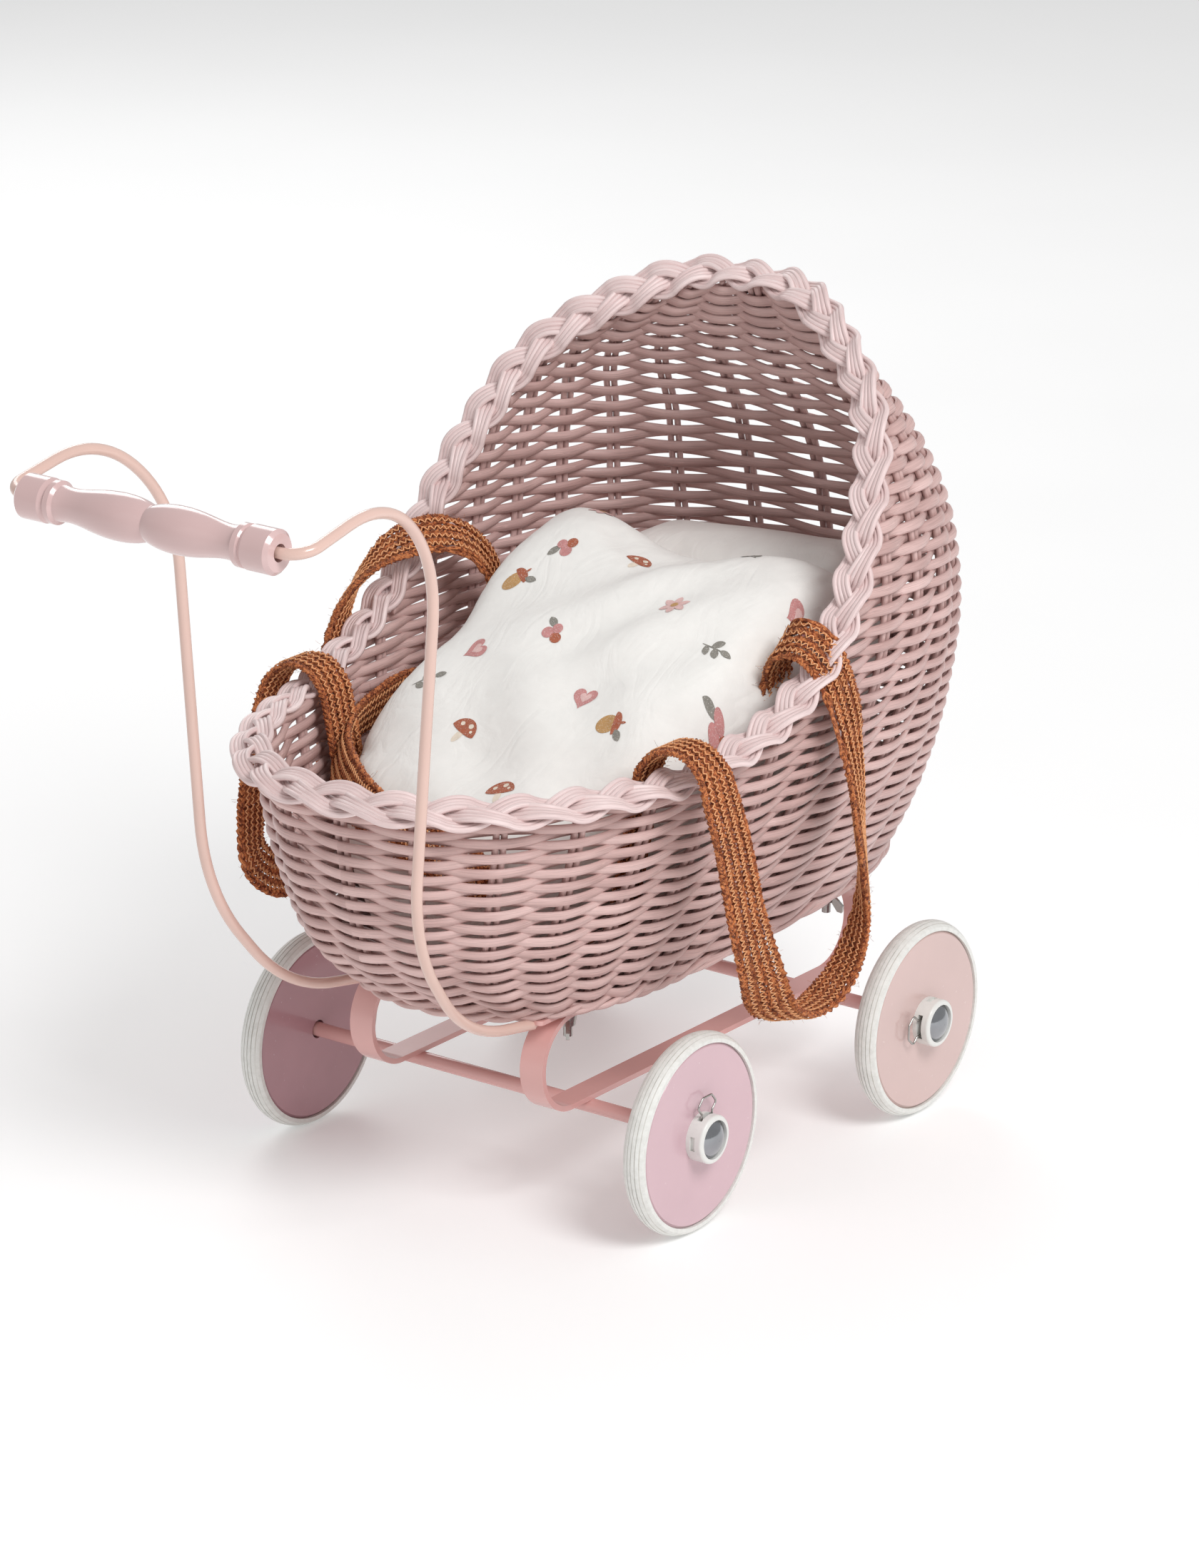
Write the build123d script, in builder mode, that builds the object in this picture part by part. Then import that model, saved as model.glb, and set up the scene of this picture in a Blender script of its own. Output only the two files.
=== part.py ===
from build123d import *
import os
from math import cos, pi, radians, sin

# Doll stroller: a woven hooded basket with bedding, bolted on a flat-bar chassis with four wheels.
# Frame: +X towards the hood, +Y to the left, +Z up, ground at Z = 0. Millimetres.

# ---- driving dimensions -------------------------------------------------------------------
WHEELBASE = 221.5
FRONT_AXLE_X = -16.0
REAR_AXLE_X = FRONT_AXLE_X + WHEELBASE
AXLE_Z = 56.0
AXLE_R = 4.0
AXLE_END_Y = 141.0

DISC_R = 51.0
DISC_T = 12.0
DISC_FACE_Y = 134.6
TYRE_R = AXLE_Z
TYRE_W = 13.0

HUB_R = 13.5
HUB_H = 10.0
HUB_MOUTH_R = 11.4
SPIGOT_R = 9.0
SPIGOT_T = 6.0
HUB_SEAT = 6.9
CLIP_OUT = 4.0
BORE_GAP = 1.25
RUNNING_GAP = 0.05
BOLT_GAP = 0.3

BAR_W = 15.0
BAR_T = 3.0
BAR_Y = 57.0
LOWER_LEG_Z = AXLE_Z + AXLE_R - 0.2
UPPER_LEG_Z = 113.0
BEND_REACH = 47.0
UPPER_LEG_RUN = 26.0

BOLT_IN = 14.0
BOLT_R = 2.5
BOLT_TIP_Z = 99.0
STRIP_T = 2.5
ROD_R = 3.0
GRIP_X = -309.2
GRIP_Z = 437.0
GRIP_LEN = 160.0

FLOOR_Z = 118.8
FLOOR_T = 6.0
WALL_T = 8.0
BRAID_OUT = 4.0
BRAID_IN = 12.0
BRAID_UP = 7.0
BRAID_DOWN = 9.0

STRAP_W = 30.0
STRAP_T = 5.0
STRAP_Y = 150.0
MATTRESS_T = 22.0

# Basket outline at each height: z, foot end x, widest x, hood end x, half width.
BASKET_STATIONS = [
    (FLOOR_Z, -88, 34, 315, 85),
    (150, -130, 67, 321, 100),
    (190, -149, 89, 317, 118.5),
    (240, -160, 108, 309, 134),
    (300, -167, 122, 299, 141.5),
    (360, -163, 129, 278, 133.5),
    (415, -143, 138, 239, 108),
    (464, -109, 166, 213, 43),
]
HOOD_END_POWER = 2.85
FOOT_END_POWER = 2.4
OUTLINE_POINTS = 28

# Side view of the rim: low and level along the foot, then climbing to the top of the hood.
RIM_LINE = [
    (-196, 257),
    (-83, 254.5),
    (4, 259.5),
    (53, 277),
    (87, 302),
    (132, 362),
    (173, 418),
    (204, 450),
    (256, 474),
]
SIDES = {"left": 1, "right": -1}
AXLES = {"front": FRONT_AXLE_X, "rear": REAR_AXLE_X}

# Which way each hub's wire clip points from its axle, in degrees from +X towards +Z.
CLIP_ANGLE = {
    "front_right": 90,
    "rear_right": 180,
    "front_left": 90,
    "rear_left": 0,
}

os.makedirs("parts", exist_ok=True)


def save(part, label):
    """Label one finished piece and write it to its own file."""
    part.label = label
    export_step(part, f"parts/{label}.step")


# ---- wheels ---------------------------------------------------------------------------------
def wheel_plane(side, x, out):
    """Plane square to the axle, with its normal pointing away from the chassis."""
    return Plane(origin=(x, side * (DISC_FACE_Y + out), AXLE_Z), x_dir=(1, 0, 0), z_dir=(0, side, 0))


def wheel_disc(side, x):
    """Painted wooden disc: eased edges and a counterbore for the hub's spigot."""
    with BuildPart() as disc:
        with BuildSketch(wheel_plane(side, x, 0)):
            Circle(DISC_R)
            Circle(AXLE_R + BORE_GAP, mode=Mode.SUBTRACT)
        extrude(amount=-DISC_T)
        with BuildSketch(wheel_plane(side, x, 0)):
            Circle(SPIGOT_R)
        extrude(amount=-SPIGOT_T, mode=Mode.SUBTRACT)
        rims = disc.edges().filter_by(GeomType.CIRCLE)
        rims = [edge for edge in rims if edge.radius > DISC_R - 1]
        chamfer(rims, length=1.6)
    return disc.part


def tyre_ring(side, x):
    """Rubber band with a crowned tread and shallow grooves round it."""
    half = TYRE_W / 2
    centre_y = side * (DISC_FACE_Y - DISC_T / 2)
    with BuildPart() as tyre:
        with BuildSketch(Plane(origin=(x, centre_y, AXLE_Z), x_dir=(0, 1, 0), z_dir=(1, 0, 0))):
            with BuildLine():
                shoulder = DISC_R + 2.2
                foot = Polyline((half, shoulder), (half, DISC_R), (-half, DISC_R), (-half, shoulder))
                ThreePointArc(foot @ 1, (0, TYRE_R), foot @ 0)
            make_face()
            for step in range(-2, 3):
                with Locations((step * 2.3, TYRE_R - 0.3 * abs(step))):
                    Rectangle(0.5, 0.8, mode=Mode.SUBTRACT)
        revolve(axis=Axis((x, 0, AXLE_Z), (0, 1, 0)))
    return tyre.part


def hub_collar(side, x, angle):
    """Moulded hub: spigot, web with the axle bore, and a cup whose wall has clip windows."""
    turn = radians(angle)
    clip_dir = (cos(turn), 0, sin(turn))
    with BuildPart() as hub:
        with BuildSketch(wheel_plane(side, x, -SPIGOT_T)):
            Circle(SPIGOT_R)
        extrude(amount=SPIGOT_T)
        with BuildSketch(wheel_plane(side, x, 0)):
            Circle(HUB_R)
        extrude(amount=HUB_H)
        fillet(hub.faces().sort_by(Axis.Y)[-1 if side > 0 else 0].edges(), 1.6)
        with BuildSketch(wheel_plane(side, x, HUB_SEAT)):
            Circle(HUB_MOUTH_R - 0.6)
        extrude(amount=HUB_H, mode=Mode.SUBTRACT)
        with BuildSketch(wheel_plane(side, x, -SPIGOT_T)):
            Circle(AXLE_R + RUNNING_GAP)
        extrude(amount=SPIGOT_T + HUB_H, mode=Mode.SUBTRACT)
        clip_y = side * (DISC_FACE_Y + CLIP_OUT)
        slot_plane = Plane(origin=(x, clip_y, AXLE_Z), x_dir=(0, 1, 0), z_dir=clip_dir)
        with BuildSketch(slot_plane):
            Rectangle(3.0, 14.0)
        extrude(amount=HUB_R + 1, both=True, mode=Mode.SUBTRACT)
        with BuildSketch(slot_plane):
            Rectangle(3.0, 4 * HUB_R)
            Rectangle(3.0, 2 * HUB_R - 4.0, mode=Mode.SUBTRACT)
        extrude(amount=4.0, both=True, mode=Mode.SUBTRACT)
    return hub.part


def hub_cap(side, x):
    """Bright domed cap seated in the mouth of the hub."""
    cap_r = 10.5
    rise = 4.5
    edge_t = 1.2
    ball_r = (cap_r**2 + rise**2) / (2 * rise)
    lip = wheel_plane(side, x, HUB_SEAT + edge_t)
    with BuildPart() as cap:
        with Locations(lip.offset(rise - ball_r)):
            Sphere(ball_r)
        split(bisect_by=lip, keep=Keep.TOP)
        with BuildSketch(lip):
            Circle(cap_r)
        extrude(amount=-edge_t)
    return cap.part


def wire_clip(side, x, angle):
    """Bent spring-wire loop: two legs either side of the axle and a wider finger loop."""
    turn = radians(angle)
    clip_dir = (cos(turn), 0, sin(turn))
    wire_r = 0.6
    leg = AXLE_R + wire_r + 0.1
    clip_y = side * (DISC_FACE_Y + CLIP_OUT)
    plane = Plane(origin=(x, clip_y, AXLE_Z), x_dir=(-sin(turn), 0, cos(turn)), z_dir=(0, 1, 0))
    flip = 1 if plane.y_dir.dot(Vector(clip_dir)) > 0 else -1
    points = [
        (-leg, -6.0),
        (-leg, 14.5),
        (-8.5, 18.5),
        (-4.0, 23.5),
        (4.0, 23.5),
        (8.5, 18.5),
        (leg, 14.5),
        (leg, -6.0),
    ]
    with BuildPart() as clip:
        with BuildLine(plane):
            wire = FilletPolyline(*[(u, flip * v) for u, v in points], radius=1.8)
        with BuildSketch(Plane(origin=wire @ 0, z_dir=wire % 0)):
            Circle(wire_r)
        sweep()
    return clip.part


for end, axle_x in AXLES.items():
    with BuildPart() as axle:
        with BuildSketch(Plane(origin=(axle_x, 0, AXLE_Z), x_dir=(1, 0, 0), z_dir=(0, 1, 0))):
            Circle(AXLE_R)
        extrude(amount=AXLE_END_Y, both=True)
        chamfer(axle.edges().filter_by(GeomType.CIRCLE), 0.6)
    save(axle.part, f"{end}_axle")
    for name, side in SIDES.items():
        place = f"{end}_{name}"
        save(wheel_disc(side, axle_x), f"{place}_wheel_disc")
        save(tyre_ring(side, axle_x), f"{place}_tyre")
        save(hub_collar(side, axle_x, CLIP_ANGLE[place]), f"{place}_hub_collar")
        save(hub_cap(side, axle_x), f"{place}_hub_cap")
        save(wire_clip(side, axle_x, CLIP_ANGLE[place]), f"{place}_wire_clip")


# ---- chassis --------------------------------------------------------------------------------
BEND_R = (UPPER_LEG_Z + BAR_T - LOWER_LEG_Z) / 2
BEND_Z = LOWER_LEG_Z + BEND_R
FRONT_BEND_X = FRONT_AXLE_X - BEND_REACH + BEND_R
REAR_BEND_X = REAR_AXLE_X + BEND_REACH - BEND_R
BOLT_XS = (FRONT_AXLE_X - BOLT_IN, REAR_AXLE_X + BOLT_IN)
BOLT_PLACES = [(bolt_x, side * BAR_Y) for bolt_x in BOLT_XS for side in SIDES.values()]

for name, side in SIDES.items():
    with BuildPart() as side_frame:
        with BuildSketch(Plane(origin=(0, side * BAR_Y, 0), x_dir=(1, 0, 0), z_dir=(0, -1, 0))):
            with BuildLine():
                middle = BEND_R - BAR_T / 2
                low = LOWER_LEG_Z + BAR_T / 2
                high = UPPER_LEG_Z + BAR_T / 2
                front_nose = (FRONT_BEND_X - middle, BEND_Z)
                rear_nose = (REAR_BEND_X + middle, BEND_Z)
                front_top = Line((FRONT_BEND_X + UPPER_LEG_RUN, high), (FRONT_BEND_X, high))
                front_bend = ThreePointArc(front_top @ 1, front_nose, (FRONT_BEND_X, low))
                lower = Line(front_bend @ 1, (REAR_BEND_X, low))
                rear_bend = ThreePointArc(lower @ 1, rear_nose, (REAR_BEND_X, high))
                Line(rear_bend @ 1, (REAR_BEND_X - UPPER_LEG_RUN, high))
            trace(line_width=BAR_T)
        extrude(amount=BAR_W / 2, both=True)
        with Locations(*[(bolt_x, side * BAR_Y, UPPER_LEG_Z + BAR_T) for bolt_x in BOLT_XS]):
            Hole(BOLT_R + BOLT_GAP, depth=BAR_T + 1)
    save(side_frame.part, f"side_frame_{name}")

    strip_start = FRONT_AXLE_X - BEND_REACH - 2
    strip_end = BOLT_XS[0] + 11
    with BuildPart() as strip:
        with BuildSketch(Plane.XY.offset(UPPER_LEG_Z + BAR_T)):
            with Locations(((strip_start + strip_end) / 2, side * BAR_Y)):
                Rectangle(strip_end - strip_start, BAR_W)
            with Locations((BOLT_XS[0], side * BAR_Y)):
                Circle(BOLT_R + BOLT_GAP, mode=Mode.SUBTRACT)
        extrude(amount=STRIP_T)
        fillet(strip.edges().filter_by(Axis.Z).group_by(Axis.X)[0], 3)
    save(strip.part, f"handle_bracket_{name}")

# ---- handle ---------------------------------------------------------------------------------
ROD_ROUTE = [
    (GRIP_X, 0, GRIP_Z),
    (GRIP_X, 94, GRIP_Z),
    (-240, 92, 451),
    (-188, 84, 407),
    (-183, 68, 195),
    (-125, 59, 126),
    (-63, BAR_Y + 0.5, 115.2),
]
ROD_BENDS = [13, 65, 80, 110, 105]

with BuildPart() as handle_rod:
    for side in SIDES.values():
        with BuildLine():
            route = FilletPolyline(*[(x, side * y, z) for x, y, z in ROD_ROUTE], radius=ROD_BENDS)
        with BuildSketch(Plane(origin=route @ 0, z_dir=route % 0)):
            Circle(ROD_R)
        sweep(path=route)
save(handle_rod.part, "handle_rod")

with BuildPart() as grip:
    # Half of the turned profile, from the middle groove outwards: distance along, radius.
    turned = [(0, 9.2), (3, 10.2), (18, 12.2), (34, 10.8), (50, 8.8), (56, 9.4)]
    collar = [(57.5, 11.2), (60.5, 11.2), (61.5, 10.2)]
    knob = [(64, 11.6), (78, 11.6), (80, 9.6), (80, 0), (0, 0)]
    for side in SIDES.values():
        with BuildSketch(Plane(origin=(GRIP_X, 0, GRIP_Z), x_dir=(0, side, 0), z_dir=(side, 0, 0))):
            with BuildLine():
                swell = Spline(*turned)
                Polyline(swell @ 1, *collar, *knob, turned[0])
            make_face()
        revolve(axis=Axis((GRIP_X, 0, GRIP_Z), (0, 1, 0)))
    with BuildSketch(Plane(origin=(GRIP_X, 0, GRIP_Z), x_dir=(1, 0, 0), z_dir=(0, 1, 0))):
        Circle(ROD_R + 0.1)
    extrude(amount=GRIP_LEN, both=True, mode=Mode.SUBTRACT)
    for side in SIDES.values():
        mouth = Plane(origin=(GRIP_X, side * GRIP_LEN / 2, GRIP_Z), x_dir=(1, 0, 0), z_dir=(0, side, 0))
        with BuildSketch(mouth):
            Circle(ROD_R + 1.6)
        extrude(amount=-7, mode=Mode.SUBTRACT)
save(grip.part, "handle_grip")

# ---- basket ---------------------------------------------------------------------------------
def outline_point(station, inset, angle):
    """Point on the basket's egg-shaped outline at one height, moved in by inset."""
    z, foot_x, wide_x, hood_x, half_width = station
    c = cos(angle)
    s = sin(angle)
    power = HOOD_END_POWER if c >= 0 else FOOT_END_POWER
    reach = (hood_x - wide_x if c >= 0 else wide_x - foot_x) - inset
    x = wide_x + reach * (1 if c >= 0 else -1) * abs(c) ** (2 / power)
    y = (half_width - inset) * (1 if s >= 0 else -1) * abs(s) ** (2 / power)
    return (x, y)


def outline_sketch(station, inset):
    """Closed outline of the basket at one height."""
    angles = [2 * pi * (i + 0.5) / OUTLINE_POINTS for i in range(OUTLINE_POINTS)]
    with BuildSketch(Plane.XY.offset(station[0])) as outline:
        with BuildLine():
            Spline(*[outline_point(station, inset, angle) for angle in angles], periodic=True)
        make_face()
    return outline.sketch


def basket_loft(inset):
    """Solid filling the basket's shape, moved in all round by inset."""
    with BuildPart() as shape:
        loft([outline_sketch(station, inset) for station in BASKET_STATIONS])
    return shape.part


def region_above(drop):
    """Solid covering everything above the rim line, which is moved down by drop."""
    line = RIM_LINE
    moved = []
    for i, (x, z) in enumerate(line):
        x0, z0 = line[max(i - 1, 0)]
        x1, z1 = line[min(i + 1, len(line) - 1)]
        length = ((x1 - x0) ** 2 + (z1 - z0) ** 2) ** 0.5
        moved.append((x + drop * (z1 - z0) / length, z - drop * (x1 - x0) / length))
    with BuildPart() as region:
        with BuildSketch(Plane.XZ):
            with BuildLine():
                rim = Spline(*moved)
                beyond = [(400, (rim @ 1).Y + 20), (400, 600), (-400, 600), (-400, (rim @ 0).Y)]
                Polyline(rim @ 1, *beyond, rim @ 0)
            make_face()
        extrude(amount=250, both=True)
    return region.part


outer_shape = basket_loft(0)
inner_shape = basket_loft(WALL_T)
above_braid_foot = region_above(BRAID_DOWN)

with BuildPart() as basket_wall:
    add(outer_shape)
    add(inner_shape, mode=Mode.SUBTRACT)
    add(above_braid_foot, mode=Mode.SUBTRACT)
save(basket_wall.part, "basket_wall")

with BuildPart() as rim_braid:
    add(basket_loft(-BRAID_OUT))
    add(basket_loft(BRAID_IN), mode=Mode.SUBTRACT)
    add(above_braid_foot, mode=Mode.INTERSECT)
    add(region_above(-BRAID_UP), mode=Mode.SUBTRACT)
save(rim_braid.part, "rim_braid")

with BuildPart() as basket_floor:
    add(outline_sketch(BASKET_STATIONS[0], WALL_T + 0.4))
    extrude(amount=FLOOR_T)
    with Locations(*[(x, y, FLOOR_Z + FLOOR_T) for x, y in BOLT_PLACES]):
        Hole(BOLT_R + BOLT_GAP, depth=FLOOR_T + 1)
save(basket_floor.part, "basket_floor")

# ---- fasteners ------------------------------------------------------------------------------
FLOOR_TOP = FLOOR_Z + FLOOR_T
WASHER_T = 1.0
HEAD_H = 2.6

with BuildPart() as carriage_bolts:
    with BuildSketch(Plane.XY.offset(FLOOR_TOP + WASHER_T)):
        with Locations(*BOLT_PLACES):
            Circle(6.0)
    extrude(amount=HEAD_H)
    fillet(carriage_bolts.faces().filter_by(Axis.Z).group_by(Axis.Z)[-1].edges(), 2.2)
    with BuildSketch(Plane.XY.offset(BOLT_TIP_Z)):
        with Locations(*BOLT_PLACES):
            Circle(BOLT_R)
    extrude(amount=FLOOR_TOP + WASHER_T - BOLT_TIP_Z)
save(carriage_bolts.part, "carriage_bolts")


def washer_set(places, z, thickness, outer_r, label):
    """Flat washers of one size, as separate solids in one node."""
    with BuildPart() as washers:
        with BuildSketch(Plane.XY.offset(z)):
            with Locations(*places):
                Circle(outer_r)
                Circle(BOLT_R + BOLT_GAP, mode=Mode.SUBTRACT)
        extrude(amount=thickness)
    save(washers.part, label)


washer_set(BOLT_PLACES, FLOOR_TOP, WASHER_T, 9.0, "bolt_washers")
washer_set(BOLT_PLACES[2:], UPPER_LEG_Z + BAR_T, STRIP_T, 7.0, "rear_spacers")

WING_TOP = UPPER_LEG_Z - 0.2
WING_ANGLES = {"front_left": 60, "front_right": 35, "rear_left": 15, "rear_right": 100}
for end, bolt_x in zip(AXLES, BOLT_XS):
    for name, side in SIDES.items():
        place = f"{end}_{name}"
        turn = radians(WING_ANGLES[place])
        wing_plane = Plane(
            origin=(bolt_x, side * BAR_Y, WING_TOP),
            x_dir=(cos(turn), sin(turn), 0),
            z_dir=(sin(turn), -cos(turn), 0),
        )
        with BuildPart() as wing_nut:
            with BuildSketch(wing_plane):
                with BuildLine():
                    Polyline((0, 0), (5.2, 0), (4.0, -7.5), (0, -7.5), (0, 0))
                make_face()
            revolve(axis=Axis((bolt_x, side * BAR_Y, 0), (0, 0, 1)))
            with BuildSketch(wing_plane):
                for hand in (1, -1):
                    with BuildLine():
                        Polyline(
                            (hand * 3.2, -2.5),
                            (hand * 7.5, -6.0),
                            (hand * 10.5, -9.0),
                            (hand * 10.0, -13.0),
                            (hand * 7.0, -12.5),
                            (hand * 3.2, -7.2),
                            (hand * 3.2, -2.5),
                        )
                    make_face()
            extrude(amount=1.0, both=True)
            fillet(wing_nut.edges().group_by(Axis.Z)[0], 0.5)
            with BuildSketch(Plane.XY.offset(WING_TOP)):
                with Locations((bolt_x, side * BAR_Y)):
                    Circle(BOLT_R + RUNNING_GAP)
            extrude(amount=-20, mode=Mode.SUBTRACT)
        save(wing_nut.part, f"{place}_wing_nut")

# ---- bedding --------------------------------------------------------------------------------
MATTRESS_Z = FLOOR_TOP + WASHER_T + HEAD_H + 0.3
with BuildPart() as mattress:
    with BuildSketch(Plane.XY.offset(MATTRESS_Z)):
        base = BASKET_STATIONS[0]
        angles = [2 * pi * (i + 0.5) / OUTLINE_POINTS for i in range(OUTLINE_POINTS)]
        with BuildLine():
            Spline(*[outline_point(base, WALL_T + 3, angle) for angle in angles], periodic=True)
        make_face()
    extrude(amount=MATTRESS_T - HEAD_H)
save(mattress.part, "mattress")

BEDDING_Z = MATTRESS_Z + MATTRESS_T - HEAD_H + STRAP_T + 1
DUVET_LEFT_Y = 88
DUVET_SIDE = [
    (-82, BEDDING_Z),
    (-96, 200),
    (-90, 218),
    (-50, 232),
    (-9, 254),
    (54, 290),
    (120, 320),
    (158, 328),
    (174, 322),
    (178, 300),
    (178, BEDDING_Z),
]
with BuildPart() as duvet:
    add(basket_loft(WALL_T + 26))
    with BuildSketch(Plane.XZ.offset(-DUVET_LEFT_Y)):
        with BuildLine():
            Polyline(*DUVET_SIDE, DUVET_SIDE[0])
        make_face()
    extrude(amount=300, mode=Mode.INTERSECT)
save(duvet.part, "duvet")

with BuildPart() as pillow:
    with BuildSketch(Plane.XY.offset(BEDDING_Z)):
        with Locations((218, 0)):
            RectangleRounded(70, 156, 22)
    extrude(amount=318 - BEDDING_Z)
    fillet(pillow.faces().sort_by(Axis.Z)[-1].edges(), 20)
save(pillow.part, "pillow")

# ---- carry straps ---------------------------------------------------------------------------
HOOD_SLOPE = 35


def strap_hook(plane, path, bend):
    """Band of strap over the rim, drawn square to its width and centred on the plane."""
    with BuildPart() as hook:
        with BuildSketch(plane):
            with BuildLine():
                FilletPolyline(*path, radius=bend)
            trace(line_width=STRAP_T)
        extrude(amount=STRAP_W / 2, both=True)
    return hook.part


def carry_strap(side, hanging, bends, hood_crossing, inner_y, arch):
    """One strap: a hanging loop outside the basket and a hook over the rim at each end."""
    slope = radians(HOOD_SLOPE)
    out = side * STRAP_Y
    foot_plane = Plane(origin=(hanging[0][0], 0, 0), x_dir=(0, 1, 0), z_dir=(1, 0, 0))
    foot_path = [
        (out, 244),
        (out, 266),
        (side * 141, 276),
        (side * (inner_y + 9), 276),
        (side * inner_y, 262),
        (side * (inner_y - 9), 212),
        (side * (inner_y - 28), MATTRESS_Z + MATTRESS_T),
        (side * (inner_y - 50), MATTRESS_Z + MATTRESS_T),
    ]
    hood_plane = Plane(
        origin=(hood_crossing[0], 0, hood_crossing[1]),
        x_dir=(0, 1, 0),
        z_dir=(cos(slope), 0, sin(slope)),
    )
    v_sign = 1 if hood_plane.y_dir.Z > 0 else -1
    hood_path = [
        (out, -30 * v_sign),
        (out, (arch - 6) * v_sign),
        (side * 144, arch * v_sign),
        (side * 128, arch * v_sign),
        (side * 122.5, (arch - 8) * v_sign),
        (side * 119, -60 * v_sign),
    ]
    drop_x = 26 * sin(slope)
    drop_z = 26 * cos(slope)
    hanging = [*hanging, (hood_crossing[0] + drop_x, hood_crossing[1] - drop_z)]
    with BuildPart() as strap:
        with BuildSketch(Plane(origin=(0, out, 0), x_dir=(1, 0, 0), z_dir=(0, -1, 0))):
            with BuildLine():
                FilletPolyline(*hanging, radius=bends)
            trace(line_width=STRAP_W)
        extrude(amount=STRAP_T / 2, both=True)
        add(strap_hook(foot_plane, foot_path, 5))
        add(strap_hook(hood_plane, hood_path, 4))
    return strap.part


right_hanging = [(-31, 262), (14, 138), (40, 105), (96, 105), (116, 150)]
left_hanging = [(-19, 262), (-42, 180), (-25, 142), (22, 142)]
save(carry_strap(-1, right_hanging, [60, 40, 30, 40], (80, 297), 103, 21), "carry_strap_right")
save(carry_strap(1, left_hanging, [30, 30, 34], (64, 285), 104, 30), "carry_strap_left")
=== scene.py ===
from math import atan2, cos, pi, radians, sin, sqrt

import bpy
import numpy as np
from mathutils import Matrix, Vector
from mathutils.bvhtree import BVHTree


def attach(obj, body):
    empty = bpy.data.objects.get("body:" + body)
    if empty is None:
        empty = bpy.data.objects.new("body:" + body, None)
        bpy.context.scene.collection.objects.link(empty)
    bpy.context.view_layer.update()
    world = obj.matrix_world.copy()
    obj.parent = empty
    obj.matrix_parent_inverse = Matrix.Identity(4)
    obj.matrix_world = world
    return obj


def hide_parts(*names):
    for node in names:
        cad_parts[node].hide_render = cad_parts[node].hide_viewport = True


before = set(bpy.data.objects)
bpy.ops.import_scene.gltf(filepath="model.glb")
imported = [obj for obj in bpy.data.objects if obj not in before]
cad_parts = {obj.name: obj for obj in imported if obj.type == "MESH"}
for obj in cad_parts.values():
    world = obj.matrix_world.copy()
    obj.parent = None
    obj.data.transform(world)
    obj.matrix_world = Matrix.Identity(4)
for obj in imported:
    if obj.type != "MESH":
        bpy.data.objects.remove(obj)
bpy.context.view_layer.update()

rng = np.random.default_rng(7)

# ---- sizes, in metres -----------------------------------------------------------------------
MM = 0.001
STAKE_PAIRS = 28
STAKE_R = 1.9 * MM
STAKE_APART = 2.15 * MM
WEAVER_HALF_H_LOW = 3.0 * MM
WEAVER_HALF_H_HOOD = 3.25 * MM
WEAVER_HALF_T = 1.65 * MM
WEAVER_SWING = 3.3 * MM
ROW_PITCH_LOW = 4.5 * MM
ROW_PITCH_HOOD = 5.7 * MM
WALL_MID = 4.0 * MM
HOOD_STARTS_Z = 0.25
HOOD_BLEND = 0.10
LOW_WEAVE_TOP_Z = 0.262
POINTS_PER_PAIR = 11
SHORTEST_ROW = 5

# Basket outline at each height: z, foot end x, widest x, hood end x, half width.
STATIONS = np.array([
    (118.8, -88, 34, 315, 85),
    (150, -130, 67, 321, 100),
    (190, -149, 89, 317, 118.5),
    (240, -160, 108, 309, 134),
    (300, -167, 122, 299, 141.5),
    (360, -163, 129, 278, 133.5),
    (415, -143, 138, 239, 108),
    (464, -109, 166, 213, 43),
]) * MM
HOOD_END_POWER = 2.85
FOOT_END_POWER = 2.4
RIM_LINE = np.array([
    (-196, 257),
    (-83, 254.5),
    (4, 259.5),
    (53, 277),
    (87, 302),
    (132, 362),
    (173, 418),
    (204, 450),
    (256, 474),
]) * MM


# ---- small geometry helpers -----------------------------------------------------------------
def smooth_table(xs, ys, x):
    """Smooth curve through a table's points, evaluated at x."""
    xs = np.asarray(xs, float)
    ys = np.asarray(ys, float)
    x = np.clip(np.asarray(x, float), xs[0], xs[-1])
    slope = np.gradient(ys, xs, axis=0)
    i = np.clip(np.searchsorted(xs, x, side="right") - 1, 0, len(xs) - 2)
    h = xs[i + 1] - xs[i]
    t = (x - xs[i]) / h
    if ys.ndim > 1:
        h = h[..., None]
        t = t[..., None]
    a = 2 * t**3 - 3 * t**2 + 1
    b = t**3 - 2 * t**2 + t
    return a * ys[i] + b * h * slope[i] + (1 - a) * ys[i + 1] + (t**3 - t**2) * h * slope[i + 1]


def unit(v):
    return v / np.maximum(np.linalg.norm(v, axis=-1, keepdims=True), 1e-12)


def smoothstep(x):
    x = np.clip(x, 0, 1)
    return x * x * (3 - 2 * x)


def resample(points, count, closed=False):
    """Points spaced evenly along a polyline."""
    p = np.asarray(points, float)
    if closed:
        p = np.vstack([p, p[:1]])
    d = np.r_[0, np.cumsum(np.linalg.norm(np.diff(p, axis=0), axis=1))]
    t = np.linspace(0, d[-1], count + (1 if closed else 0))
    q = np.stack([np.interp(t, d, p[:, k]) for k in range(3)], axis=1)
    return q[:-1] if closed else q


def tangents(p, closed=False):
    if closed:
        return unit(np.roll(p, -1, axis=0) - np.roll(p, 1, axis=0))
    return unit(np.gradient(p, axis=0))


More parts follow.
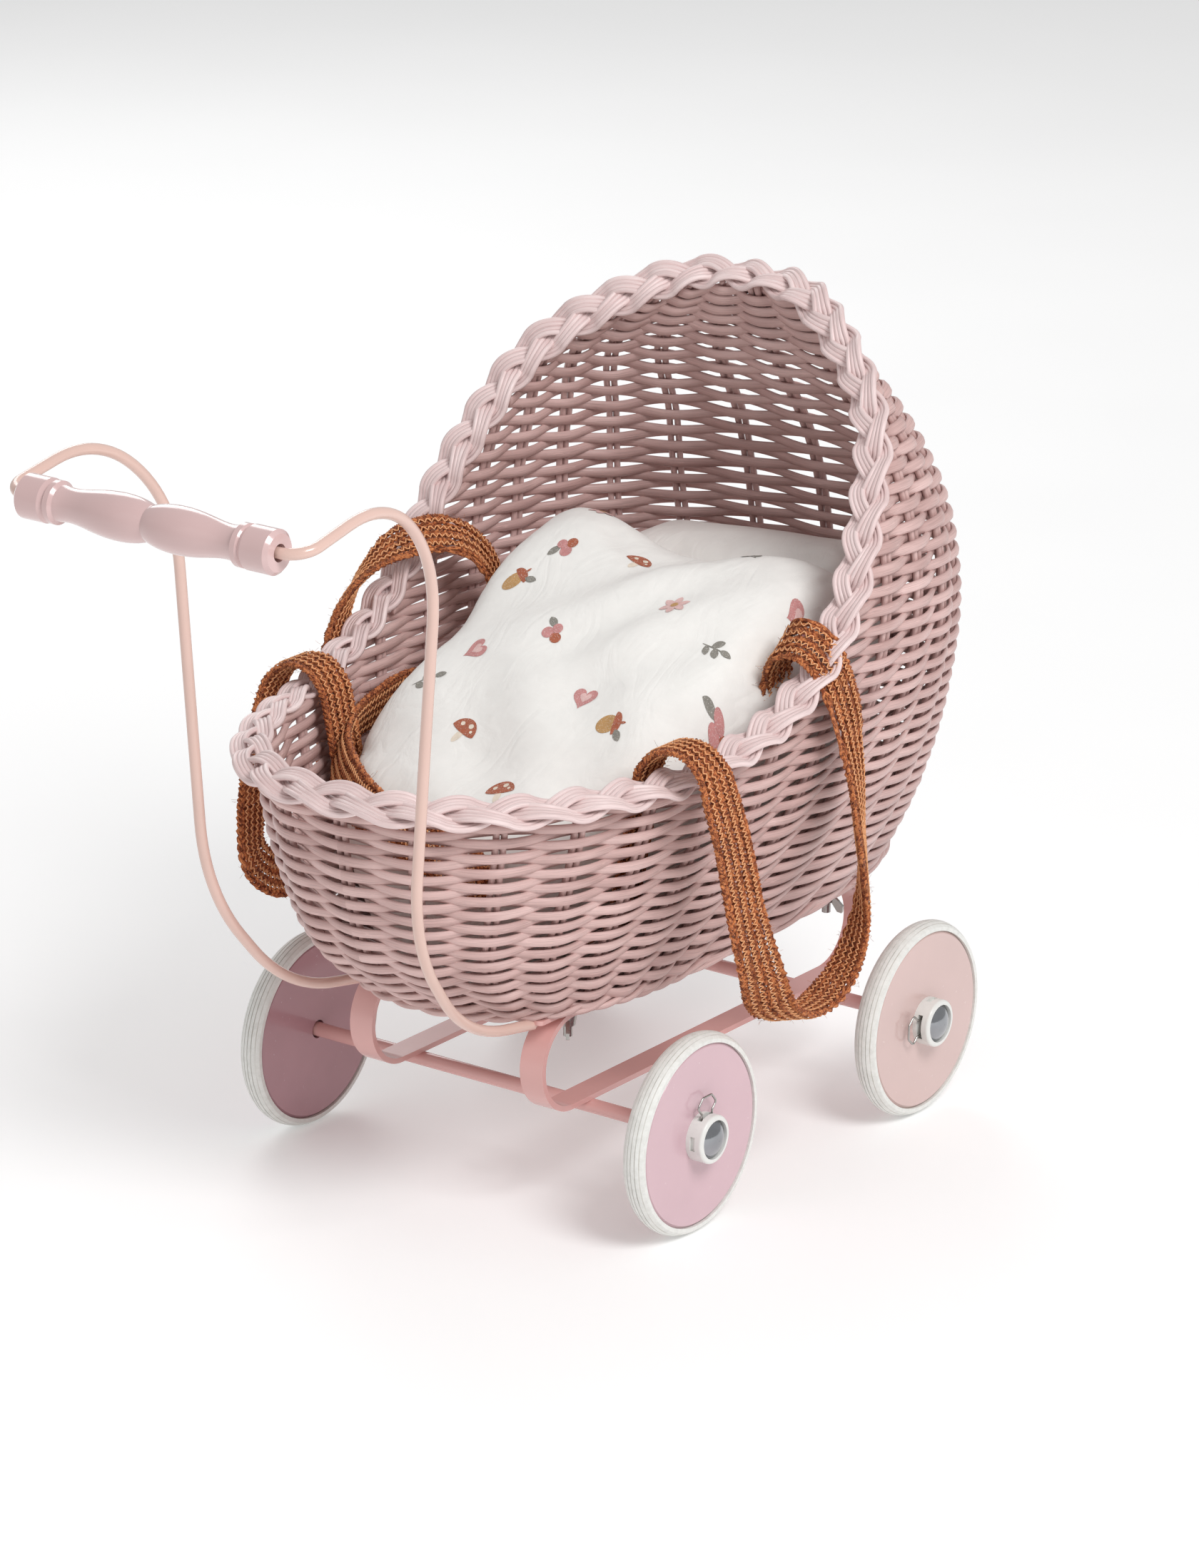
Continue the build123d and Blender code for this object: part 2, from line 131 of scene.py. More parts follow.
def basket_point(angle, z, out=0.0):
    """Point on the basket's outline: angle round it, height, and distance out from the outer face."""
    angle = np.asarray(angle, float)
    z = np.asarray(z, float) + 0 * angle
    angle = angle + 0 * z
    foot, wide, hood, half = np.moveaxis(smooth_table(STATIONS[:, 0], STATIONS[:, 1:], z), -1, 0)
    c = np.cos(angle)
    s = np.sin(angle)
    power = np.where(c >= 0, HOOD_END_POWER, FOOT_END_POWER)
    reach = np.where(c >= 0, hood - wide, wide - foot) + out
    x = wide + reach * np.sign(c) * np.abs(c) ** (2 / power)
    y = (half + out) * np.sign(s) * np.abs(s) ** (2 / power)
    return np.stack([x, y, z], axis=-1)


def basket_frame(angle, z, out=0.0):
    """Point, direction along the row, direction up the wall, and outward normal."""
    e = 0.004
    h = 0.0008
    p = basket_point(angle, z, out)
    along = unit(basket_point(np.asarray(angle) + e, z, out) - basket_point(np.asarray(angle) - e, z, out))
    up = unit(basket_point(angle, np.asarray(z) + h, out) - basket_point(angle, np.asarray(z) - h, out))
    normal = unit(np.cross(along, up))
    return p, along, up, normal


def rim_height(x):
    return smooth_table(RIM_LINE[:, 0], RIM_LINE[:, 1], x)


# ---- mesh building --------------------------------------------------------------------------
def strands_mesh(name, strands, sides=8):
    """One mesh of many canes or cords. A strand is (points, wide direction, thick direction,
    half width, half thickness, closed). UV is distance along and distance round, in metres."""
    verts = []
    faces = []
    uvs = []
    base = 0
    ring = np.linspace(0, 2 * pi, sides, endpoint=False)
    for points, wide, thick, half_w, half_t, closed in strands:
        n = len(points)
        half_w = np.broadcast_to(np.asarray(half_w, float), (n,))
        half_t = np.broadcast_to(np.asarray(half_t, float), (n,))
        body = (
            points[:, None, :]
            + np.cos(ring)[None, :, None] * (wide * half_w[:, None])[:, None, :]
            + np.sin(ring)[None, :, None] * (thick * half_t[:, None])[:, None, :]
        ).reshape(-1, 3)
        verts.append(body)
        step = np.linalg.norm(np.roll(points, -1, axis=0) - points, axis=1)
        along = np.r_[0, np.cumsum(step)] + rng.uniform(0, 40)
        girth = 2 * pi * 0.5 * (half_w.mean() + half_t.mean())
        around = np.linspace(0, girth, sides + 1)
        rows = n if closed else n - 1
        i = np.arange(rows)[:, None]
        j = np.arange(sides)[None, :]
        i2 = (i + 1) % n
        j2 = (j + 1) % sides
        quads = np.stack([i * sides + j, i * sides + j2, i2 * sides + j2, i2 * sides + j], axis=-1)
        faces.append(base + quads.reshape(-1, 4))
        u0 = np.broadcast_to(along[:rows, None], (rows, sides))
        u1 = np.broadcast_to(along[1 : rows + 1, None], (rows, sides))
        v0 = np.broadcast_to(around[None, :-1], (rows, sides))
        v1 = np.broadcast_to(around[None, 1:], (rows, sides))
        corners = [np.stack(pair, -1) for pair in ((u0, v0), (u0, v1), (u1, v1), (u1, v0))]
        uvs.append(np.stack(corners, 2).reshape(-1, 2))
        first = base
        base += n * sides
        if not closed:
            for end in (0, n - 1):
                tip = points[end] + (points[end] - points[1 if end == 0 else n - 2]) * 0.15
                verts.append(tip[None, :])
                loop = np.arange(sides) + first + end * sides
                nxt = np.roll(loop, -1)
                centre = np.full(sides, base)
                tri = np.stack([loop, centre, nxt, nxt] if end == 0 else [loop, nxt, centre, centre], axis=-1)
                faces.append(tri)
                edge = along[0] if end == 0 else along[n - 1]
                uvs.append(np.tile([[edge, 0.0]], (4 * sides, 1)))
                base += 1
    return mesh_object(name, np.vstack(verts), np.vstack(faces), np.vstack(uvs))


def mesh_object(name, verts, faces, uvs=None, smooth=True):
    """Mesh object from arrays; a quad whose last two corners are one vertex is a triangle."""
    mesh = bpy.data.meshes.new(name)
    faces = np.asarray(faces)
    tri = faces[:, 2] == faces[:, 3]
    polys = [tuple(f[:3]) if t else tuple(f) for f, t in zip(faces.tolist(), tri.tolist())]
    mesh.from_pydata(np.asarray(verts, float).tolist(), [], polys)
    if uvs is not None:
        keep = np.ones(len(uvs), bool)
        keep[3::4] = ~tri
        layer = mesh.uv_layers.new(name="UVMap")
        layer.data.foreach_set("uv", np.asarray(uvs, np.float32)[keep].ravel())
    mesh.polygons.foreach_set("use_smooth", [smooth] * len(mesh.polygons))
    mesh.update()
    obj = bpy.data.objects.new(name, mesh)
    bpy.context.scene.collection.objects.link(obj)
    return obj


# ---- materials ------------------------------------------------------------------------------
def srgb(r, g, b):
    """Colour given as 0-255 display values, in the linear values that shaders use."""
    shares = [c / 255 for c in (r, g, b)]
    return tuple(c / 12.92 if c <= 0.04 else ((c + 0.055) / 1.055) ** 2.4 for c in shares) + (1.0,)


class Nodes:
    """Short way to write a material's node tree."""

    def __init__(self, name):
        self.material = bpy.data.materials.new(name)
        self.material.use_nodes = True
        self.tree = self.material.node_tree
        self.shader = self.tree.nodes["Principled BSDF"]

    def add(self, kind, **settings):
        node = self.tree.nodes.new(kind)
        for key, value in settings.items():
            if hasattr(node, key):
                setattr(node, key, value)
            else:
                node.inputs[key.replace("_", " ")].default_value = value
        return node

    def link(self, a, b):
        self.tree.links.new(a, b)

    def set(self, **values):
        for key, value in values.items():
            self.shader.inputs[key.replace("_", " ")].default_value = value

    def coords(self, scale=(1, 1, 1), kind="Object"):
        source = self.add("ShaderNodeTexCoord")
        mapping = self.add("ShaderNodeMapping")
        mapping.inputs["Scale"].default_value = scale
        self.link(source.outputs[kind], mapping.inputs["Vector"])
        return mapping.outputs["Vector"]

    def noise(self, vector, scale, detail=4.0, rough=0.55, distortion=0.0):
        node = self.add("ShaderNodeTexNoise")
        node.inputs["Scale"].default_value = scale
        node.inputs["Detail"].default_value = detail
        node.inputs["Roughness"].default_value = rough
        node.inputs["Distortion"].default_value = distortion
        self.link(vector, node.inputs["Vector"])
        return node.outputs["Fac"]

    def ramp(self, value, stops):
        node = self.add("ShaderNodeValToRGB")
        elements = node.color_ramp.elements
        while len(elements) < len(stops):
            elements.new(0.5)
        for element, (place, colour) in zip(elements, stops):
            element.position = place
            element.color = colour
        self.link(value, node.inputs["Fac"])
        return node.outputs["Color"]

    def span(self, value, low, high, to_low, to_high):
        node = self.add("ShaderNodeMapRange")
        for key, number in (("From Min", low), ("From Max", high), ("To Min", to_low), ("To Max", to_high)):
            node.inputs[key].default_value = number
        self.link(value, node.inputs["Value"])
        return node.outputs["Result"]

    def math(self, operation, a, b=None):
        node = self.add("ShaderNodeMath", operation=operation)
        for socket, value in zip(node.inputs, (a, b)):
            if value is None:
                continue
            if isinstance(value, (int, float)):
                socket.default_value = value
            else:
                self.link(value, socket)
        return node.outputs[0]

    def mix(self, factor, a, b, blend="MIX"):
        node = self.add("ShaderNodeMix", data_type="RGBA", blend_type=blend)
        for socket, value in ((node.inputs[0], factor), (node.inputs[6], a), (node.inputs[7], b)):
            if isinstance(value, (int, float, tuple)):
                socket.default_value = value
            else:
                self.link(value, socket)
        return node.outputs[2]

    def bump(self, height, distance, strength=1.0, below=None):
        node = self.add("ShaderNodeBump")
        node.inputs["Distance"].default_value = distance
        node.inputs["Strength"].default_value = strength
        self.link(height, node.inputs["Height"])
        if below is not None:
            self.link(below, node.inputs["Normal"])
        return node.outputs["Normal"]

    def use(self, colour=None, roughness=None, normal=None):
        for socket, value in (("Base Color", colour), ("Roughness", roughness), ("Normal", normal)):
            if value is not None:
                self.link(value, self.shader.inputs[socket])
        return self.material


def cane_material(name, light, dark):
    """Painted cane: tone that drifts along each cane, fine grain lines, small cracks, satin paint."""
    n = Nodes(name)
    grain_at = n.coords((45, 2600, 1), "UV")
    tone_at = n.coords((14, 60, 1), "UV")
    tone = n.noise(tone_at, 1.0, 3.0)
    grain = n.noise(grain_at, 1.0, 3.0, 0.6)
    dust = n.noise(n.coords((1, 1, 1)), 240, 4.0)
    colour = n.ramp(tone, [(0.25, dark), (0.75, light)])
    lines = n.span(grain, 0.30, 0.52, 0.0, 1.0)
    colour = n.mix(n.span(lines, 0, 1, 0.42, 0.0), colour, tuple(c * 0.45 for c in dark[:3]) + (1,))
    worn = n.span(n.noise(n.coords((70, 500, 1), "UV"), 1.0, 4.0, 0.65), 0.60, 0.72, 0.0, 0.35)
    colour = n.mix(worn, colour, tuple(min(c * 1.25, 1) for c in light[:3]) + (1,))
    rough = n.span(dust, 0.3, 0.7, 0.36, 0.52)
    bump = n.bump(grain, 0.00035, 0.55)
    bump = n.bump(dust, 0.0003, 0.25, bump)
    n.set(Coat_Weight=0.12, Coat_Roughness=0.3)
    return n.use(colour, rough, bump)


def paint_material(name, colour, rough=0.22, coat=0.35):
    """Gloss paint: slight orange peel, faint tone drift and tiny chips of a lighter tone."""
    n = Nodes(name)
    at = n.coords()
    drift = n.noise(at, 18, 3.0)
    peel = n.noise(at, 260, 2.0)
    fleck = n.noise(at, 420, 3.0)
    base = n.ramp(drift, [(0.3, tuple(c * 0.93 for c in colour[:3]) + (1,)), (0.7, colour)])
    base = n.mix(n.span(fleck, 0.72, 0.78, 0.0, 0.08), base, (0.95, 0.9, 0.88, 1))
    n.set(Coat_Weight=coat, Coat_Roughness=0.12)
    return n.use(base, n.span(fleck, 0.3, 0.7, rough, rough + 0.05), n.bump(peel, 0.0001, 0.10))


# ---- the basket -----------------------------------------------------------------------------
def angle_table(z=0.215):
    """Angles that are evenly spaced round the basket at one height."""
    a = np.linspace(-pi, pi, 2001)
    p = basket_point(a, z)
    d = np.r_[0, np.cumsum(np.linalg.norm(np.diff(p, axis=0), axis=1))]
    return a, d / d[-1]


TABLE_A, TABLE_S = angle_table()


def angle_at(share):
    """Angle at a share of the way round, counted from the foot end."""
    whole = np.floor(share)
    return np.interp(share - whole, TABLE_S, TABLE_A) + 2 * pi * whole


def wall_rows():
    """Heights of the woven rows, closer together low down than in the hood."""
    z = STATIONS[0, 0] + 2.2 * MM
    rows = []
    while z < STATIONS[-1, 0] - 6 * MM:
        rows.append(z)
        low = basket_point(pi / 2, z)[1]
        high = basket_point(pi / 2, z + MM)[1]
        tilt = MM / sqrt(MM**2 + (high - low) ** 2)
        hood = smoothstep((z - HOOD_STARTS_Z) / HOOD_BLEND)
        z += (ROW_PITCH_LOW + (ROW_PITCH_HOOD - ROW_PITCH_LOW) * hood) * tilt
    return rows


def swing(stake_index, row):
    """How far a weaver stands out (1) or in (-1) beside each stake; rows alternate."""
    wave = np.cos(pi * (stake_index + row))
    return np.sign(wave) * np.abs(wave) ** 1.05


def weave():
    """Weavers: full rings up to the low rim, then part rows that end inside the braid."""
    low_strands = []
    hood_strands = []
    for k, z in enumerate(wall_rows()):
        share = np.linspace(0, 1, STAKE_PAIRS * POINTS_PER_PAIR, endpoint=False)
        angle = angle_at(share)
        p = basket_point(angle, z, -WALL_MID)
        below = p[:, 2] < rim_height(p[:, 0]) - 3 * MM
        stake = share * STAKE_PAIRS
        height_wave = 1 - 0.08 * np.sin(pi * (stake + k)) ** 2
        jitter = rng.normal(0, 0.22 * MM, STAKE_PAIRS)
        lift = np.interp(stake, np.arange(STAKE_PAIRS + 1), np.r_[jitter, jitter[:1]])
        out = -WALL_MID + WEAVER_SWING * swing(stake, k)
        point, _, up, normal = basket_frame(angle, z, 0.0)
        lean = np.clip(1 / np.maximum(up[:, 2], 0.4), 1, 1.35)
        centre = point + normal * out[:, None] + up * lift[:, None]
        scale = rng.uniform(0.93, 1.05)
        blend = smoothstep((z - HOOD_STARTS_Z) / HOOD_BLEND)
        half_h = WEAVER_HALF_H_LOW + (WEAVER_HALF_H_HOOD - WEAVER_HALF_H_LOW) * blend
        half_h = half_h * height_wave * lean * scale
        half_t = WEAVER_HALF_T * scale
        if below.all():
            low_strands.append((centre, up, normal, half_h, half_t, True))
            continue
        target = low_strands if z < LOW_WEAVE_TOP_Z else hood_strands
        for start in np.flatnonzero(below & ~np.roll(below, 1)):
            count = int(np.argmin(np.roll(below, -start)))
            order = (start + np.arange(count)) % len(share)
            if count > SHORTEST_ROW:
                target.append((centre[order], up[order], normal[order], half_h[order], half_t, False))
    return low_strands, hood_strands


def stakes():
    """Upright canes in pairs, from the floor into the braid."""
    strands = []
    for j in range(STAKE_PAIRS):
        share = j / STAKE_PAIRS
        for hand in (-1, 1):
            z = np.linspace(STATIONS[0, 0] + 1 * MM, STATIONS[-1, 0] - MM, 110)
            angle = angle_at(np.full_like(z, share + 1e-6))
            point, along, _, normal = basket_frame(angle, z, 0.0)
            keep = z < rim_height(point[:, 0]) + 1 * MM
            last = len(z) if keep.all() else int(np.argmin(keep))
            wobble = hand * STAKE_APART * (1 + 0.12 * np.sin(z * 90 + j * 1.7 + hand))
            centre = point - normal * WALL_MID + along * wobble[:, None]
            strands.append((centre[:last], along[:last], normal[:last], STAKE_R, STAKE_R, False))
    return strands


def rim_path(count=420):
    """Closed line that the braid follows."""
    x = np.concatenate([np.linspace(RIM_LINE[0, 0], 0.19, 900), np.linspace(0.19, 0.2555, 700)])
    z = rim_height(x)
    foot, wide, hood, half = np.moveaxis(smooth_table(STATIONS[:, 0], STATIONS[:, 1:], z), -1, 0)
    dx = x - wide
    power = np.where(dx >= 0, HOOD_END_POWER, FOOT_END_POWER)
    reach = np.where(dx >= 0, hood - wide, wide - foot) - WALL_MID
    ratio = np.abs(dx) / reach
    inside = ratio < 1
    y = np.zeros_like(x)
    y[inside] = (half[inside] - WALL_MID) * (1 - ratio[inside] ** power[inside]) ** (1 / power[inside])
    first = int(np.argmax(inside))
    last = len(x) - int(np.argmax(inside[::-1]))
    side = np.stack([x, y, z], axis=1)[first:last]
    other = side[::-1] * np.array([1, -1, 1])
    loop = np.vstack([side, other])
    loop = resample(loop, count, closed=True)
    for _ in range(6):
        loop = 0.5 * loop + 0.25 * (np.roll(loop, 1, axis=0) + np.roll(loop, -1, axis=0))
    return loop


BRAID_LOOPS = 45
BRAID_HALF_W = 6.8 * MM
BRAID_HALF_T = 3.1 * MM
BRAID_CANE_R = 1.6 * MM
BRAID_CANE_APART = 3.05 * MM
BRAID_OUT = 3.5 * MM
BRAID_LEAN = radians(95)
BRAID_LEAN_FOOT = radians(104)
BRAID_OUT_FOOT = 5.0 * MM


def rim_axes(loop):
    """Along the rim, up the wall and out of it, at each point of the rim line."""
    along = tangents(loop, closed=True)
    outward = []
    for p in loop:
        z = min(p[2], STATIONS[-1, 0] - 2 * MM)
        foot, wide, hood, half = smooth_table(STATIONS[:, 0], STATIONS[:, 1:], np.array(z))
        dx = p[0] - wide
        power = HOOD_END_POWER if dx >= 0 else FOOT_END_POWER
        reach = (hood - wide if dx >= 0 else wide - foot) - WALL_MID
        c = np.sign(dx) * min(abs(dx) / reach, 1) ** (power / 2)
        s = np.sign(p[1]) * min(abs(p[1]) / (half - WALL_MID), 1) ** (power / 2)
        outward.append(basket_frame(atan2(s, c), z)[3])
    normal = np.array(outward)
    normal = unit(normal - along * np.sum(normal * along, axis=1)[:, None])
    for _ in range(10):
        normal = unit(0.5 * normal + 0.25 * (np.roll(normal, 1, axis=0) + np.roll(normal, -1, axis=0)))
    up = unit(np.cross(normal, along))
    up = np.where(up[:, 2:3] < 0, -up, up)
    return along, up, normal


def braid():
    """Plaited border: three bundles of four canes that cross over each other."""
    count = 760
    loop = rim_path(count)
    _, up, normal = rim_axes(loop)
    foot = smoothstep((0.02 - loop[:, 0:1]) / 0.13)
    lean = BRAID_LEAN + (BRAID_LEAN_FOOT - BRAID_LEAN) * foot
    wide_dir = unit(up * np.cos(lean) + normal * np.sin(lean))
    deep_dir = unit(normal * np.cos(lean) - up * np.sin(lean))
    loop = loop + normal * (BRAID_OUT + (BRAID_OUT_FOOT - BRAID_OUT) * foot)
    rate = 1 - 0.22 * foot[:, 0]
    phase = np.cumsum(rate) / rate.sum() * 2 * pi * BRAID_LOOPS / 3
    strands = []
    for bundle in range(3):
        f = phase + bundle * 2 * pi / 3
        over = np.sign(np.sin(2 * f)) * np.abs(np.sin(2 * f)) ** 0.8
        for cane in (-1.5, -0.5, 0.5, 1.5):
            w = BRAID_HALF_W * np.sin(f) + cane * BRAID_CANE_APART * (1 - 0.25 * np.abs(np.sin(f)))
            d = BRAID_HALF_T * over - 0.35 * MM * abs(cane)
            centre = loop + wide_dir * w[:, None] + deep_dir * d[:, None] + up * 1.5 * MM
            t = tangents(centre, closed=True)
            a = unit(wide_dir - t * np.sum(wide_dir * t, axis=1)[:, None])
            b = unit(np.cross(t, a))
            radius = BRAID_CANE_R * rng.uniform(0.93, 1.06)
            strands.append((centre, a, b, radius, radius, True))
    return strands


def floor_weave():
    """Rings and ribs of the woven base, with a twisted edge where the wall turns up."""
    z = STATIONS[0, 0] + 3.2 * MM
    rings = []
    for k in range(15):
        inset = 7.5 * MM + 5.0 * MM * k
        share = np.linspace(0, 1, STAKE_PAIRS * 8, endpoint=False)
        point = basket_point(angle_at(share), z, -inset)
        point[:, 2] = z + 1.9 * MM * np.cos(pi * (share * STAKE_PAIRS + k))
        flat = np.tile([0.0, 0.0, 1.0], (len(share), 1))
        side = unit(np.cross(flat, tangents(point, closed=True)))
        rings.append((point, side, flat, 2.35 * MM, 1.3 * MM, True))
    ribs = []
    for j in range(STAKE_PAIRS):
        inset = np.linspace(2 * MM, 80 * MM, 16)
        angle = angle_at(np.full(16, j / STAKE_PAIRS + 1e-6))
        for hand in (-1, 1):
            line = basket_point(angle, z, -inset)
            reach = tangents(line)
            side = unit(np.cross(np.tile([0.0, 0.0, 1.0], (16, 1)), reach))
            fade = np.linspace(1, 0.25, 16)
            line = line + side * (hand * STAKE_APART * fade)[:, None]
            ribs.append((line, side, unit(np.cross(reach, side)), 1.7 * MM, 1.5 * MM, False))
    edge = []
    share = np.linspace(0, 1, STAKE_PAIRS * 12, endpoint=False)
    for strand in range(3):
        turn = 2 * pi * (share * STAKE_PAIRS / 2 + strand / 3)
        point, _, _, normal = basket_frame(angle_at(share), STATIONS[0, 0] + 3.0 * MM, -2.6 * MM)
        line = point + normal * (1.9 * MM * np.cos(turn))[:, None]
        line[:, 2] += 1.9 * MM * np.sin(turn)
        t = tangents(line, closed=True)
        side = unit(np.cross(np.tile([0.0, 0.0, 1.0], (len(share), 1)), t))
        edge.append((line, side, unit(np.cross(t, side)), 1.9 * MM, 1.9 * MM, True))
    return rings + ribs + edge


def make_basket():
    wicker = cane_material("wicker_paint", srgb(232, 199, 194), srgb(184, 147, 142))
    rim_paint = cane_material("rim_paint", srgb(246, 226, 224), srgb(220, 192, 190))
    low, hood = weave()
    lower = strands_mesh("weave_lower", low, 8)
    upper = strands_mesh("weave_hood", hood, 8)
    uprights = strands_mesh("stakes", stakes(), 7)
    base = strands_mesh("weave_floor", floor_weave(), 7)
    border = strands_mesh("rim_plait", braid(), 8)
    for piece in (lower, upper, uprights, base):
        piece.data.materials.append(wicker)
        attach(piece, "carrycot")
    border.data.materials.append(rim_paint)
    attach(border, "carrycot")
    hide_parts("basket_wall")
    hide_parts("rim_braid")
    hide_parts("basket_floor")


# ---- carry straps ---------------------------------------------------------------------------
STRAP_PLAITS = 5
PLAIT_W = 5.5 * MM
PLAIT_PITCH = 6.8 * MM

# Centre line of each strap and the direction of its width: x, y, z, then wx, wy, wz.
RIGHT_STRAP = [
    (-31, -58, 153, 1, 0, 0),
    (-31, -84, 163, 1, 0, 0),
    (-31, -97, 205, 1, 0, 0),
    (-31, -104, 245, 1, 0, 0),
    (-31, -109, 265, 1, 0, 0),
    (-31, -121, 275, 1, 0, 0),
    (-31, -136, 275, 1, 0, 0),
    (-30, -146, 266, 1, -0.05, 0),
    (-27, -150, 250, 1, -0.1, 0.1),
    (-20, -151, 232, 1, -0.1, 0.2),
    (-10, -150, 208, 0.98, -0.15, 0.25),
    (1, -150, 176, 0.96, -0.2, 0.25),
    (14, -150, 146, 0.85, -0.4, 0.3),
    (28, -149, 120, 0.45, -0.85, 0.3),
    (53, -147, 107, 0.08, -1, 0.25),
    (80, -146, 108, -0.1, -1, 0.1),
    (101, -147, 121, -0.35, -0.93, 0.1),
    (112, -149, 145, -0.6, -0.8, 0),
    (112, -150, 172, -0.8, -0.6, 0),
    (107, -150, 200, -0.88, -0.5, 0),
    (103, -150, 225, -0.93, -0.35, 0),
    (97, -150, 248, -0.97, -0.2, -0.1),
    (90, -150, 268, -0.93, 0, -0.35),
    (83, -148, 287, -0.82, 0, -0.57),
    (77, -142, 303, -0.75, 0, -0.66),
    (74, -131, 310, -0.75, 0, -0.66),
    (74, -121, 307, -0.75, 0, -0.66),
    (77, -114, 296, -0.75, 0.1, -0.6),
    (82, -110, 278, -0.9, 0.1, -0.4),
    (88, -107, 250, -1, 0, -0.2),
    (92, -104, 215, -1, 0, 0),
]
LEFT_STRAP = [
    (-19, 60, 153, 1, 0, 0),
    (-19, 86, 163, 1, 0, 0),
    (-19, 98, 205, 1, 0, 0),
    (-19, 106, 242, 1, 0, 0),
    (-19, 111, 259, 1, 0, 0),
    (-19, 122, 269, 1, 0, 0),
    (-19, 135, 269, 1, 0, 0),
    (-21, 146, 260, 1, 0, 0),
    (-25, 151, 245, 0.97, 0.1, -0.2),
    (-33, 151, 220, 0.95, 0.1, -0.2),
    (-40, 151, 185, 0.98, 0.1, -0.1),
    (-38, 151, 158, 0.8, 0.2, 0.55),
    (-18, 151, 142, 0.2, 0.3, 1),
    (8, 151, 142, -0.2, 0.3, 0.95),
    (28, 151, 158, -0.8, 0.3, 0.5),
    (34, 151, 190, -1, 0.2, 0),
    (32, 151, 225, -1, 0, 0),
    (33, 152, 252, -1, -0.1, 0),
    (41, 151, 279, -0.9, -0.3, 0.15),
    (53, 146, 299, -0.75, -0.55, 0.0),
    (68, 135, 314, -0.6, -0.6, -0.4),
    (85, 122, 319, -0.5, -0.62, -0.55),
    (101, 112, 314, -0.45, -0.65, -0.6),
    (114, 107, 301, -0.6, -0.5, -0.6),
    (122, 104, 280, -0.8, -0.4, -0.4),
    (128, 102, 245, -0.9, -0.3, -0.2),
]
# Band lying on edge inside the basket, from the left wall round the duvet's corner to the foot.
INNER_BAND = [
    (96, 112, 214, 0.3, 0, 1),
    (76, 121, 230, 0.2, -0.05, 1),
    (50, 119, 235, 0, -0.15, 1),
    (24, 115, 235, 0, -0.25, 1),
    (0, 112, 232, 0, -0.35, 1),
    (-26, 100, 226, 0.1, -0.35, 1),
    (-52, 76, 222, 0.25, -0.35, 1),
    (-76, 46, 220, 0.35, -0.25, 1),
    (-92, 12, 217, 0.35, -0.1, 1),
    (-98, -22, 211, 0.35, 0, 1),
    (-94, -52, 200, 0.3, 0.1, 1),
]


def smooth_path(controls, step):
    """Smooth line through control points, with the width direction carried along it."""
    c = np.array(controls, float)
    xyz = c[:, :3] * MM
    d = np.r_[0, np.cumsum(np.linalg.norm(np.diff(xyz, axis=0), axis=1))]
    t = np.linspace(0, d[-1], int(d[-1] / step) + 1)
    p = smooth_table(d, xyz, t)
    w = smooth_table(d, unit(c[:, 3:]), t)
    for _ in range(3):
        p[1:-1] = 0.5 * p[1:-1] + 0.25 * (p[:-2] + p[2:])
    along = tangents(p)
    wide = unit(w - along * np.sum(w * along, axis=1)[:, None])
    return p, along, wide, np.cross(along, wide)


def strap_strands(controls):
    """Side-by-side plaits of three jute yarns, and the zigzag threads that join them."""
    p, along, wide, thick = smooth_path(controls, 1.15 * MM)
    n = len(p)
    length = np.r_[0, np.cumsum(np.linalg.norm(np.diff(p, axis=0), axis=1))]
    yarns = []
    threads = []
    for plait in range(STRAP_PLAITS):
        middle = (plait - (STRAP_PLAITS - 1) / 2) * PLAIT_W
        start = rng.uniform(0, 2 * pi)
        hand = 1 if plait % 2 else -1
        stretch = 1 + 0.05 * np.sin(length * 35 + plait * 2.1)
        bulge = 1 + 0.10 * np.sin(length * 2 * pi / (PLAIT_PITCH / 3))
        for yarn in range(3):
            f = hand * 2 * pi * length / PLAIT_PITCH * stretch + start + yarn * 2 * pi / 3
            wander = 0.18 * MM * np.sin(length * 210 + yarn * 2 + plait)
            w = middle + 1.75 * MM * np.sin(f) + wander
            d = 1.0 * MM * np.sin(2 * f)
            line = p + wide * w[:, None] + thick * d[:, None]
            t = tangents(line)
            a = unit(wide - t * np.sum(wide * t, axis=1)[:, None])
            fat = bulge + 0.13 * np.sin(length * 330 + yarn * 1.3 + plait * 2.2)
            yarns.append((line, a, np.cross(t, a), 1.0 * MM * fat, 0.98 * MM * fat, False))
    for seam in range(STRAP_PLAITS - 1):
        middle = (seam - (STRAP_PLAITS - 2) / 2) * PLAIT_W
        for face in (-1, 1):
            saw = length / (3.6 * MM)
            zig = np.abs(2 * (saw - np.floor(saw + 0.5))) * 2 - 1
            line = p + wide * (middle + 1.9 * MM * zig)[:, None] + thick * (face * 2.25 * MM)
            t = tangents(line)
            a = unit(wide - t * np.sum(wide * t, axis=1)[:, None])
            threads.append((line, a, np.cross(t, a), 0.42 * MM, 0.42 * MM, False))
    hairs = []
    for _ in range(int(n * 1.6)):
        i = int(rng.integers(3, n - 3))
        edge = rng.uniform(-1, 1)
        face = rng.choice((-1.0, 1.0))
        root = p[i] + wide[i] * edge * 13.5 * MM + thick[i] * face * 1.9 * MM
        lean = along[i] * rng.normal(0, 1) + wide[i] * (edge * 1.4 + rng.normal(0, 0.5))
        lean = unit(lean + thick[i] * face * 0.8)
        curl = unit(rng.normal(0, 1, 3))
        s = np.linspace(0, 1, 4)[:, None]
        line = root + lean * s * rng.uniform(1.5, 4.0) * MM + curl * s**2 * 1.2 * MM
        t = tangents(line)
        a = unit(np.cross(t, curl + 0.01))
        hairs.append((line, a, np.cross(t, a), 0.07 * MM, 0.07 * MM, False))
    return yarns, threads, hairs


